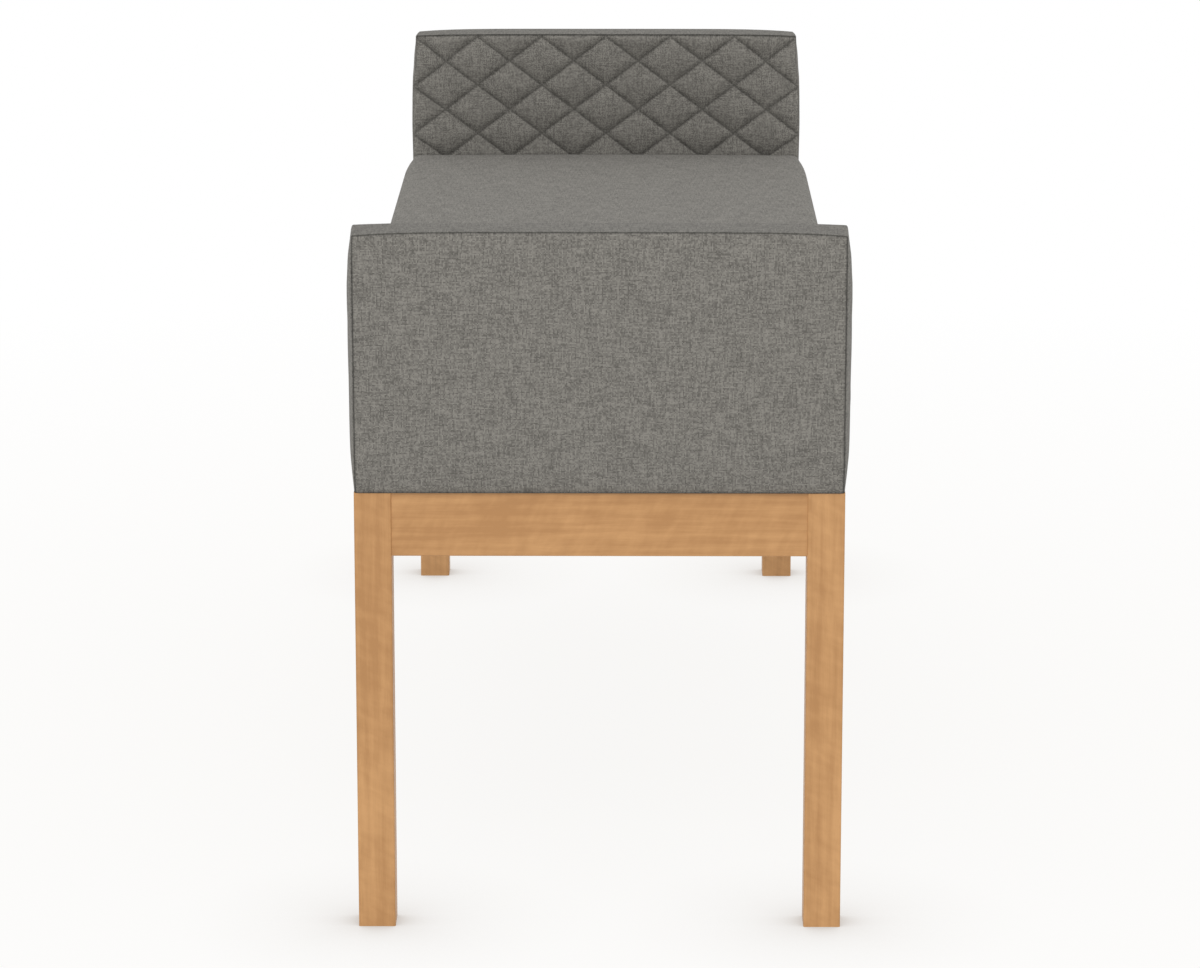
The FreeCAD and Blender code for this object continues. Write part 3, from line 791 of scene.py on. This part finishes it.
def outer_front(arm):
    """Points of the outer panel, their places on the cloth and the painted shade near its seams and
    hem.
    """
    fine = [0.0, 0.00035, 0.0009, 0.0017, 0.0026, 0.0038, 0.0056]
    foot_shares = [0.0, 0.008, 0.018, 0.03]
    top_shares = [0.012, 0.008, 0.004, 0.0016, 0.0]
    height = arm.top_height - arm.foot_height
    wide = spaced(-arm.half_width, arm.half_width, arm.step, fine)
    tall = spaced(0, 1, arm.step / height, foot_shares, True, False)
    tall = np.concatenate([tall[:-1], 1 - np.array(top_shares)])
    y = np.broadcast_to(wide[None, :], (len(tall), len(wide)))
    top = outline_top(arm, y)
    z = arm.foot_height + tall[:, None] * (top - arm.foot_height)
    y, z, edge = rounded(arm, y, z)
    share_up = (z - arm.foot_height) / height
    foot_slope, top_slope = 3, 4
    crown = arm.panel_crown * (1 - (y / arm.half_width) ** 2)
    crown = crown * np.sqrt(np.clip(share_up * foot_slope, 0, 1))
    crown *= np.sqrt(np.clip((1 - share_up) * top_slope, 0, 1))
    x = overhang(arm, z) + crown - arm.seam_depth * rolled(edge, arm.seam_roll)
    front = np.stack([x, y, z], axis=-1)
    place = np.stack([y, z], axis=-1)
    # Painted shade: darker next to the seams and along the hem where the panel meets the wood
    painted_shade = np.maximum(near(edge, PANEL_LINE), near(z - arm.foot_height, HEM_LINE))
    return front, place, painted_shade


def flat_back(arm, front, depth, low):
    """The back of an arm panel's padding, flat on the core."""
    back = front.copy()
    back[..., 0] = depth
    back[..., 1] = front[..., 1] * arm.core_half_width / np.abs(front[..., 1]).max()
    reach = (arm.core_top - low) / (arm.top_height - low)
    back[..., 2] = low + (front[..., 2] - low) * reach
    return back


def border_path(arm):
    """Places along the outline from foot to foot, with the direction outwards at each."""
    foot_shares = [0.0, 0.006, 0.014, 0.026]
    top_shares = [0.974, 0.985, 0.993, 1.0]
    even_share = 0.96
    side_step_share, over_step_share = 0.022, 0.024
    turn_points = 9
    blend_power = 8
    up = spaced(0, even_share, side_step_share, foot_shares, True, False)
    up = np.concatenate([up, top_shares])
    over = spaced(-1, 1, over_step_share)[1:-1]
    corner = arm.half_width - arm.corner_round
    left_y = np.full(len(up), -arm.half_width)
    height = outline_top(arm, np.array(arm.half_width)) - arm.corner_round
    left_z = arm.foot_height + up * (height - arm.foot_height)
    angle = np.linspace(0, math.pi / 2, turn_points)[1:]
    turn_y = -corner - arm.corner_round * np.cos(angle)
    turn_z = height + arm.corner_round * np.sin(angle)
    over_y = over * corner
    rise = turn_z[-1] - outline_top(arm, np.array(corner))
    over_z = outline_top(arm, over_y) + rise * np.abs(over) ** blend_power
    y = np.concatenate([left_y, turn_y, over_y, -turn_y[::-1], -left_y[::-1]])
    z = np.concatenate([left_z, turn_z, over_z, turn_z[::-1], left_z[::-1]])
    path = np.stack([y, z], axis=1)
    tangent = np.gradient(path, axis=0)
    tangent[: len(up) - 1] = (0, 1)
    tangent[-len(up) + 1 :] = (0, -1)
    tangent /= np.linalg.norm(tangent, axis=1, keepdims=True)
    outward = np.stack([-tangent[:, 1], tangent[:, 0]], axis=1)
    return path, outward


def border_front(arm):
    """Points of the border, their places on the cloth and the painted shade near its seams, along its
    hem and on its top.
    """
    path, outward = border_path(arm)
    least_swell = 0.0003
    least_plump, more_plump, plump_run = 0.0006, 0.0006, 0.03
    facing_gain, facing_start = 1.3, 0.15
    slant_share = 0.5
    cloth_shift = 0.7
    painted_top_shade = 0.23
    across_shares = np.array([0, 0.008, 0.022, 0.045, 0.075, 0.115, 0.17, 0.25, 0.34, 0.43])
    across = np.concatenate([across_shares, [0.5], 1 - across_shares[::-1]])
    heights = np.array([0, 8, 17, 29, 64, 124, 160, 185, 194.5, 203, 210.6, 218, 222]) / 1000
    swells = np.array([0.0, 0.05, 0.2, 0.3, 0.4, 0.2, 1.8, 2.5, 2.6, 1.9, 0.9, 0.1, 0.0]) / 1000
    side_swell = smooth_curve(heights, swells)(path[:, 1] - arm.foot_height)
    facing_side = np.clip(np.abs(outward[:, 0]) * facing_gain - facing_start, 0, 1)
    swell = least_swell + side_swell * facing_side
    outer = overhang(arm, path[:, 1]) - arm.seam_depth
    width = outer - arm.inner_seam
    x = outer[:, None] - across[None, :] * width[:, None]
    from_seam = np.minimum(across, 1 - across)[None, :] * width[:, None]
    slant = np.abs(outward[:, 0] * outward[:, 1])[:, None]
    below = outline_top(arm, path[:, 0]) - path[:, 1]
    plump = least_plump + more_plump * np.clip(below / plump_run, 0, 1)[:, None]
    lift = plump * (1 - slant_share * slant) * (1 - rolled(from_seam, arm.seam_roll))
    lift = lift + swell[:, None] * (1 - (2 * across[None, :] - 1) ** 2)
    gain = (widening(arm, path[:, 1]) * path[:, 0] / arm.half_width)[:, None]
    y = path[:, 0:1] + across[None, :] * gain + outward[:, 0:1] * lift
    rise = corner_lift(arm, path[:, 0], path[:, 1])[:, None]
    z = path[:, 1:2] + across[None, :] * rise + outward[:, 1:2] * lift
    front = np.stack([x, y, z], axis=-1)
    run = lengths_along(path)
    place = np.stack(np.broadcast_arrays(x + cloth_shift, run[:, None]), axis=-1)
    inner_side = (across[None, :] > 0.5) & (facing_side[:, None] > 0.5)
    # Painted shade: dark lines at the seams, fainter on the upright inner seams, a dark line at the
    # hem, and the top darkened where it faces up
    painted_shade = near(from_seam, BORDER_LINE) * np.where(inner_side, SIDE_SEAM_SHARE, 1.0)
    painted_shade = np.maximum(painted_shade, near(z - arm.foot_height, HEM_LINE))
    painted_shade = np.maximum(painted_shade, painted_top_shade * np.clip(outward[:, 1:2], 0, 1))
    return front, place, painted_shade, path


def border_back(arm, front, path):
    """The inside of the border's padding, on the edge of the core."""
    back = front.copy()
    scale = arm.core_half_width / arm.half_width
    low = arm.foot_height
    reach = (arm.core_top - low) / (arm.top_height - low)
    back[..., 0] = np.linspace(arm.core_outer, arm.core_inner, front.shape[1])[None, :]
    back[..., 1] = (path[:, 0] * scale)[:, None]
    back[..., 2] = (low + (path[:, 1] - low) * reach)[:, None]
    return back


def quilt_top(arm):
    """Height of the uppermost crossings of the stitch lines."""
    return arm.top_height - arm.quilt_row / arm.quilt_steps


def quilt_pitch(arm):
    """Width of one diamond."""
    return 2 * arm.half_width / arm.quilt_columns


def quilt_cells(arm, y, z):
    """Place of a point in the slanted grid of stitch lines."""
    along = y / quilt_pitch(arm)
    down = (quilt_top(arm) - z) / arm.quilt_row
    return along + down, along - down


def quilt_front(arm):
    """Points of the quilted panel before it swells, with their distances from its lines."""
    across = np.linspace(-arm.half_width, arm.half_width, arm.quilt_columns * arm.quilt_steps + 1)
    tall_step = arm.quilt_row / arm.quilt_steps
    count = int((arm.top_height - arm.quilt_start) / tall_step)
    down = np.arange(count + 1) * tall_step
    fine = np.array([0.0, 0.0004, 0.001])
    wide = np.unique(np.concatenate([across, -arm.half_width + fine, arm.half_width - fine]))
    y, flat_z = np.broadcast_arrays(wide[None, :], arm.top_height - down[:, None])
    first, second = quilt_cells(arm, y, flat_z)
    swell = np.sqrt(np.abs(np.sin(math.pi * first) * np.sin(math.pi * second)))
    near_line = np.minimum(np.abs(first - np.round(first)), np.abs(second - np.round(second)))
    over_line = np.minimum(1 - first % 1, second % 1)
    top = outline_top(arm, y)
    low = arm.quilt_start
    z = low + (flat_z - low) * (top - low) / (arm.top_height - low)
    y, z, edge = rounded(arm, y, z)
    upright = arm.half_width - np.abs(y) < outline_top(arm, y) - z
    z = z + corner_lift(arm, y, z)
    y = spread(arm, y, z)
    pitch = quilt_pitch(arm)
    line_gap = pitch * arm.quilt_row / math.hypot(pitch, arm.quilt_row)
    return y, z, edge, upright, swell, near_line * line_gap, over_line * line_gap


def quilt_surface(arm):
    """Points of the quilted panel, swollen between its stitch lines, with painted shade on the lines,
    on the lower part of each diamond and at the seams.
    """
    y, z, edge, upright, swell, from_line, over_line = quilt_front(arm)
    seat_height, seat_run = 0.4575, 0.011
    held_height, held_edge = 0.463, 0.002
    edge_run, edge_share = 0.012, 0.25
    line_width, line_shade = 0.0014, 0.62
    underside_shade_width, underside_shade = 0.009, 0.38
    seat_fade = eased((z - seat_height) / seat_run)
    edge_fade = edge_share + (1 - edge_share) * (1 - rolled(edge, edge_run))
    rise = arm.quilt_rise * swell * seat_fade * edge_fade
    x = arm.quilt_base - rise + (arm.inner_seam - arm.quilt_base) * rolled(edge, arm.seam_roll)
    front = np.stack([x, y, z], axis=-1)
    sewn = from_line < 1e-6
    pins = sewn | (edge < held_edge) | (z < held_height)
    pins[0] = pins[-1] = True
    front = front[:, ::-1]
    pins = pins[:, ::-1]
    if not facing(front, (-1, 0, 0)):
        raise RuntimeError("the quilted panel faces the wrong way")
    swollen = inflate(front, pins, pressure=5.0, cap=0.0022)
    place = np.stack([-y, z], axis=-1)[:, ::-1]
    # Painted shade: a thin dark line on each stitch line, a broad soft shade on the lower part of
    # each diamond just above the line below it, and lines at the seams, fainter on the upright ones
    painted_shade = near(from_line, line_width) * line_shade
    painted_shade = np.maximum(painted_shade, near(over_line, underside_shade_width) ** 2 * underside_shade)
    seam = near(edge, PANEL_LINE) * np.where(upright, SIDE_SEAM_SHARE, 1.0)
    painted_shade = np.maximum(painted_shade, seam)[:, ::-1]
    return swollen, place, painted_shade, sewn[:, ::-1]


# Operators


class BENCH_OT_base(bpy.types.Operator):
    """Give the legs, aprons, cross rails and corner blocks their maple."""

    bl_idname = "bench.base"
    bl_label = "Maple base"

    def execute(self, context):
        finish = context.scene.bench.finish
        tones = (finish.wood_pale, finish.wood_dark)
        for name, turn, figure, nodes in (
            ("honey_maple_upright", GRAIN_UP, 0.42, LEGS),
            ("honey_maple_long", GRAIN_ALONG, 0.4, LONG_APRONS + BLOCKS),
            ("honey_maple_cross", GRAIN_ACROSS, 0.4, END_APRONS + BASE_CROSS),
        ):
            paint(nodes, wood_material(name, turn, *tones, figure, shine=0.4))
        return {"FINISHED"}


class BENCH_OT_inner_frame(bpy.types.Operator):
    """Give the hidden rails, cores, straps and fasteners their materials."""

    bl_idname = "bench.inner_frame"
    bl_label = "Inner frame"

    def execute(self, context):
        finish = context.scene.bench.finish
        tones = (finish.inner_pale, finish.inner_dark)
        for name, turn, figure, nodes in (
            ("frame_wood_long", GRAIN_ALONG, 0.1, LONG_RAILS),
            ("frame_wood_cross", GRAIN_ACROSS, 0.1, END_RAILS + SEAT_CROSS),
            ("plywood", GRAIN_ACROSS, 0.2, CORES + ["seat_dowels"]),
        ):
            paint(nodes, wood_material(name, turn, *tones, figure, shine=0.2))
        webbing = speckled_material("webbing", finish.webbing, rough=0.9, grain=0.002)
        paint(["cross_webbing", "long_webbing"], webbing)
        steel = speckled_material("steel", finish.steel, rough=0.32, metal=1.0)
        paint(["corner_block_screws", "body_screws"], steel)
        for side, _ in SIDES:
            paint([side + "_arm_bolts", side + "_arm_tee_nuts"], steel)
        return {"FINISHED"}


class BENCH_OT_seat(bpy.types.Operator):
    """Make the padded seat with its cover drawn down to the base."""

    bl_idname = "bench.seat"
    bl_label = "Seat"

    def execute(self, context):
        seat = context.scene.bench.seat
        front, place = seat_front(seat)
        if not facing(front, (0, 0, 1)):
            front = front[:, ::-1]
            place = place[:, ::-1]
        held_end, held_hem = 0.012, 0.004
        # Painted shade: dark at the seat's ends, where they run in against the arms, and a lighter
        # dark line along the hem
        end_shade_width = 0.002
        hem_shade_width, hem_shade = 0.003, 0.7
        to_end = seat.half_length - np.abs(front[..., 0])
        over_hem = front[..., 2] - seat.hem_height
        pins = (to_end < held_end) | (over_hem < held_hem)
        front = inflate(front, pins, pressure=3.0, cap=0.0018)
        painted_shade = np.maximum(near(to_end, end_shade_width), near(over_hem, hem_shade_width) * hem_shade)
        back = seat_back(seat, front)
        piece = padded_body("seat_cushion", front, back, place, painted_shade)
        finish_piece(
            piece, fabric_material(), "grey_weave", "seat_cover", "seat_batting", "seat_foam"
        )
        return {"FINISHED"}


def make_arm_pads(form, nodes, front, back, place, painted_shade, sewn=None):
    """Makes a padded piece on each arm in place of the arm's CAD nodes."""
    for side, sign in SIDES:
        name = f"{side}_arm_{form}"
        piece = padded_body(name, front, back, place, painted_shade, mirrored=sign < 0, sewn=sewn)
        replaced = [f"{side}_arm_{node}" for node in nodes]
        finish_piece(piece, fabric_material(), "grey_weave", *replaced)


class BENCH_OT_outer_panels(bpy.types.Operator):
    """Make the plain padded panels on the outside of the arms."""

    bl_idname = "bench.outer_panels"
    bl_label = "Outer arm panels"

    def execute(self, context):
        arm = context.scene.bench.arm
        front, place, painted_shade = outer_front(arm)
        if not facing(front, (1, 0, 0)):
            front, place, painted_shade = front[:, ::-1], place[:, ::-1], painted_shade[:, ::-1]
        pins = painted_shade > 0
        pins[0] = pins[-1] = True
        pins[:, 0] = pins[:, -1] = True
        held_hem = 0.004
        pins |= front[..., 2] < arm.foot_height + held_hem
        front = inflate(front, pins, pressure=2.0, cap=0.0012)
        back = flat_back(arm, front, arm.core_outer, arm.foot_height)
        make_arm_pads("outer_pad", ("outer_panel", "outer_foam"), front, back, place, painted_shade)
        return {"FINISHED"}


class BENCH_OT_borders(bpy.types.Operator):
    """Make the padded borders between the inner and outer panels of the arms."""

    bl_idname = "bench.borders"
    bl_label = "Arm borders"

    def execute(self, context):
        arm = context.scene.bench.arm
        front, place, painted_shade, path = border_front(arm)
        back = border_back(arm, front, path)
        if not facing(front, (0, 0, 1)):
            front, place, painted_shade = front[:, ::-1], place[:, ::-1], painted_shade[:, ::-1]
            back = back[:, ::-1]
        make_arm_pads("border_pad", ("border", "edge_wrap"), front, back, place, painted_shade)
        return {"FINISHED"}


class BENCH_OT_quilted_panels(bpy.types.Operator):
    """Make the diamond quilted panels on the inside of the arms."""

    bl_idname = "bench.quilted_panels"
    bl_label = "Quilted arm panels"

    def execute(self, context):
        arm = context.scene.bench.arm
        front, place, painted_shade, sewn = quilt_surface(arm)
        back = flat_back(arm, front, arm.core_inner, arm.quilt_start)
        nodes = ("inner_panel", "inner_foam")
        make_arm_pads("quilted_pad", nodes, front, back, place, painted_shade, sewn)
        return {"FINISHED"}


def stitch_tree(material):
    """Geometry Nodes that set stitches along the edges of a mesh."""
    tree = bpy.data.node_groups.new("stitch_rows", "GeometryNodeTree")
    tree.interface.new_socket("Lines", in_out="INPUT", socket_type="NodeSocketGeometry")
    for label in ("Pitch", "Length", "Radius"):
        tree.interface.new_socket(label, in_out="INPUT", socket_type="NodeSocketFloat")
    tree.interface.new_socket("Stitches", in_out="OUTPUT", socket_type="NodeSocketGeometry")
    graph = Graph(tree)
    given = graph.add("NodeGroupInput").outputs
    curves = graph.add("GeometryNodeMeshToCurve", {0: given["Lines"]}).outputs[0]
    rows = graph.add(
        "GeometryNodeResampleCurve", {"Curve": curves, "Length": given["Pitch"]}, mode="LENGTH"
    ).outputs[0]
    ball = graph.add(
        "GeometryNodeMeshUVSphere", {"Segments": 6, "Rings": 5, "Radius": 1.0}
    ).outputs[0]
    along = graph.add("GeometryNodeInputTangent").outputs[0]
    turn = graph.add(
        "FunctionNodeAlignRotationToVector", {"Vector": along}, axis="Z"
    ).outputs[0]
    half = graph.math("MULTIPLY", given["Length"], 0.5)
    scale = graph.add(
        "ShaderNodeCombineXYZ", {0: given["Radius"], 1: given["Radius"], 2: half}
    ).outputs[0]
    placed = graph.add(
        "GeometryNodeInstanceOnPoints",
        {"Points": rows, "Instance": ball, "Rotation": turn, "Scale": scale},
    ).outputs[0]
    real = graph.add("GeometryNodeRealizeInstances", {0: placed}).outputs[0]
    painted = graph.add("GeometryNodeSetMaterial", {"Geometry": real, "Material": material})
    graph.add("NodeGroupOutput", {0: painted.outputs[0]})
    return tree


def stitch_lines(arm):
    """Points along the stitch lines of a quilted panel, in y and z."""
    low = 0.466
    top_margin, side_margin = 0.004, 0.003
    count, least_count = 121, 8
    z = np.linspace(low, arm.top_height - top_margin, count)
    lines = []
    for number in range(-2 * arm.quilt_columns, 2 * arm.quilt_columns + 1):
        for slant in (-1, 1):
            y = quilt_pitch(arm) * (number - slant * (quilt_top(arm) - z) / arm.quilt_row)
            kept = np.abs(y) <= arm.half_width - side_margin
            if kept.sum() > least_count:
                lines.append((y[kept], z[kept]))
    return lines


class BENCH_OT_stitches(bpy.types.Operator):
    """Sew stitches along the lines of the quilted panels."""

    bl_idname = "bench.stitches"
    bl_label = "Quilt stitches"

    def execute(self, context):
        bench = context.scene.bench
        arm = bench.arm
        thread = speckled_material("sewing_thread", bench.finish.thread, rough=0.8, grain=0.001)
        tree = stitch_tree(thread)
        names = {i.name: i.identifier for i in tree.interface.items_tree if i.in_out == "INPUT"}
        low = arm.quilt_start
        for side, sign in SIDES:
            points, edges = [], []
            for y, z in stitch_lines(arm):
                sewn = low + (z - low) * (outline_top(arm, y) - low) / (arm.top_height - low)
                sewn = sewn + corner_lift(arm, y, sewn)
                start = len(points)
                edges += [(start + k, start + k + 1) for k in range(len(y) - 1)]
                depth = np.full(len(y), sign * arm.quilt_base)
                points += np.stack([depth, spread(arm, y, sewn), sewn], axis=1).tolist()
            rows = bpy.data.meshes.new("stitch_rows")
            rows.from_pydata(points, edges, [])
            guide = new_object("stitch_rows", rows)
            nodes = guide.modifiers.new("stitches", "NODES")
            nodes.node_group = tree
            nodes[names["Pitch"]] = arm.stitch_pitch
            nodes[names["Length"]] = arm.stitch_length
            nodes[names["Radius"]] = arm.thread_radius
            graph = context.evaluated_depsgraph_get()
            mesh = bpy.data.meshes.new_from_object(guide.evaluated_get(graph))
            bpy.data.objects.remove(guide)
            bpy.data.meshes.remove(rows)
            if not mesh.polygons:
                raise RuntimeError("no stitches were made")
            mesh.name = side + "_arm_stitches"
            piece = new_object(side + "_arm_stitches", mesh)
            finish_piece(piece, thread, "grey_weave")
        return {"FINISHED"}


class BENCH_OT_dust_cover(bpy.types.Operator):
    """Stretch the thin black cloth under the seat."""

    bl_idname = "bench.dust_cover"
    bl_label = "Dust cover"

    def execute(self, context):
        low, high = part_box("dust_cover")
        end_inset, side_inset = 0.0004, 0.0026
        sag_depth = 0.0001
        thickness = 0.0009
        columns, rows = 122, 40
        half_x, half_y = high.x - end_inset, high.y - side_inset
        along = np.linspace(-half_x, half_x, columns)
        across = np.linspace(-half_y, half_y, rows)
        x, y = np.meshgrid(along, across, indexing="ij")
        sag = sag_depth * np.cos(math.pi * x / half_x / 2) * np.cos(math.pi * y / half_y / 2)
        bottom = np.stack([x, y, low.z + sag_depth - sag], axis=-1)
        top = bottom.copy()
        top[..., 2] += thickness
        place = np.stack([x, y], axis=-1)
        painted_shade = np.zeros(x.shape)
        if facing(bottom, (0, 0, -1)):
            front, back = bottom, top
        else:
            front, back = top, bottom
        piece = padded_body("dust_cover_cloth", front, back, place, painted_shade)
        tone = context.scene.bench.finish.dust_cloth
        cloth = speckled_material("dust_cloth", tone, rough=0.9, grain=0.0015)
        finish_piece(piece, cloth, "dust_cloth", "dust_cover")
        return {"FINISHED"}


def floor_material(finish):
    """A pale floor with a soft shadow painted near the bench, that runs out into white."""
    white = (1, 1, 1, 1)
    pale = (*finish.floor, 1)
    painted_contact_shadow = (0.56, 0.505, 0.46, 1)
    contact_reach = 0.16
    fade_start, fade_end = 0.3, 2.2
    near_glow = 0.93
    bounce_glow, bounce_share = 0.77, 0.85
    material, graph, shader = new_material("pale_floor")
    graph.fill(shader, {"Base Color": pale, "Roughness": 1.0, "Specular IOR Level": 0.0})
    place = graph.add("ShaderNodeTexCoord").outputs["Object"]
    apart = graph.add("ShaderNodeVectorMath", {0: place}, operation="LENGTH").outputs["Value"]
    far = graph.remap(apart, fade_start, fade_end)
    # Painted shadow: where ambient occlusion finds the bench near, the floor's glowing colour for the
    # camera is tinted towards the contact shadow colour
    open_share = graph.add("ShaderNodeAmbientOcclusion", {"Distance": contact_reach}, samples=12)
    open_share = graph.remap(open_share.outputs["AO"], 0.35, 0.98)
    shade = graph.mix(open_share, painted_contact_shadow, white)
    tone = graph.mix(1.0, graph.mix(far, pale, white), shade, "MULTIPLY")
    glow = graph.add("ShaderNodeEmission", {"Color": tone, "Strength": 1.0}).outputs[0]
    bounce = graph.add("ShaderNodeEmission", {"Color": pale, "Strength": bounce_glow}).outputs[0]
    plain = shader.outputs[0]
    lit = graph.add("ShaderNodeMixShader", {0: bounce_share, 1: plain, 2: bounce}).outputs[0]
    glow_share = graph.remap(far, 0.0, 1.0, near_glow, 1.0)
    shown = graph.add("ShaderNodeMixShader", {0: glow_share, 1: plain, 2: glow}).outputs[0]
    blend = graph.add("ShaderNodeMixShader", {0: graph.seen(), 1: lit, 2: shown}).outputs[0]
    result = next(n for n in graph.tree.nodes if n.type == "OUTPUT_MATERIAL")
    graph.fill(result, {"Surface": blend})
    return material


def make_floor(finish):
    """A wide flat floor."""
    reach = 30.0
    corners = [(-reach, -reach, 0), (reach, -reach, 0), (reach, reach, 0), (-reach, reach, 0)]
    ground = bpy.data.meshes.new("floor")
    ground.from_pydata(corners, [], [(0, 1, 2, 3)])
    ground.materials.append(floor_material(finish))
    new_object("floor", ground)


def make_sky(scene, finish):
    """A white sky, brighter from above, that the camera sees as plain white."""
    world = bpy.data.worlds.new("studio")
    scene.world = world
    world.use_nodes = True
    sky = Graph(world.node_tree)
    back = next(n for n in world.node_tree.nodes if n.type == "BACKGROUND")
    aim = sky.add("ShaderNodeTexCoord").outputs["Generated"]
    rise = sky.add("ShaderNodeSeparateXYZ", {0: aim}).outputs[2]
    dome = sky.remap(rise, 0.0, 1.0, finish.light, finish.top_light)
    strength = sky.add("ShaderNodeMix", {0: sky.seen(), 2: dome, 3: 1.0}).outputs[0]
    sky.fill(back, {"Color": (1, 1, 1, 1), "Strength": strength})


def make_lamps(finish):
    """Two soft boxes in front of the near arm."""
    for label, power, place, tilt in (
        ("low_soft_box", finish.key, (9.0, -0.6, 1.2), 86),
        ("high_soft_box", finish.top_key, (6.6, -0.6, 5.6), 50),
    ):
        lamp = bpy.data.lights.new(label, "AREA")
        lamp.shape = "RECTANGLE"
        lamp.size, lamp.size_y = 2.2, 4.0
        lamp.energy = power
        box = new_object(label, lamp)
        box.location = place
        box.rotation_euler = (0, math.radians(tilt), 0)


def make_camera(scene):
    """The camera that was fitted to the photo."""
    look_down, look_aside = 0.2317, 0.00571
    view = bpy.data.cameras.new("photo_view")
    view.sensor_width = 36.0
    view.lens = 136.36
    view.clip_end = 100.0
    camera = new_object("photo_view", view)
    camera.location = (4.2583, 0.0213, 1.2448)
    camera.rotation_euler = (math.pi / 2 - look_down, 0.0, math.pi / 2 + look_aside)
    scene.camera = camera


class BENCH_OT_stage(bpy.types.Operator):
    """Set the floor, the light and the camera."""

    bl_idname = "bench.stage"
    bl_label = "Stage"

    def execute(self, context):
        scene = context.scene
        finish = scene.bench.finish
        make_floor(finish)
        make_sky(scene, finish)
        make_lamps(finish)
        make_camera(scene)
        scene.view_settings.view_transform = "Standard"
        return {"FINISHED"}


OPERATORS = (
    BENCH_OT_base,
    BENCH_OT_inner_frame,
    BENCH_OT_seat,
    BENCH_OT_outer_panels,
    BENCH_OT_borders,
    BENCH_OT_quilted_panels,
    BENCH_OT_stitches,
    BENCH_OT_dust_cover,
    BENCH_OT_stage,
)


class BENCH_PT_panel(bpy.types.Panel):
    """Steps that dress the bench."""

    bl_idname = "BENCH_PT_panel"
    bl_label = "Upholstered bench"
    bl_space_type = "VIEW_3D"
    bl_region_type = "UI"
    bl_category = "Bench"

    def draw(self, context):
        for operator in OPERATORS:
            self.layout.operator(operator.bl_idname)


CLASSES = (
    BenchSeatSettings,
    BenchArmSettings,
    BenchFinishSettings,
    BenchSettings,
    *OPERATORS,
    BENCH_PT_panel,
)


def register():
    for item in CLASSES:
        bpy.utils.register_class(item)
    bpy.types.Scene.bench = PointerProperty(type=BenchSettings)


def unregister():
    del bpy.types.Scene.bench
    for item in reversed(CLASSES):
        bpy.utils.unregister_class(item)


def main():
    register()
    bpy.ops.bench.base()
    bpy.ops.bench.inner_frame()
    bpy.ops.bench.seat()
    bpy.ops.bench.outer_panels()
    bpy.ops.bench.borders()
    bpy.ops.bench.quilted_panels()
    bpy.ops.bench.stitches()
    bpy.ops.bench.dust_cover()
    bpy.ops.bench.stage()


if __name__ == "__main__":
    main()
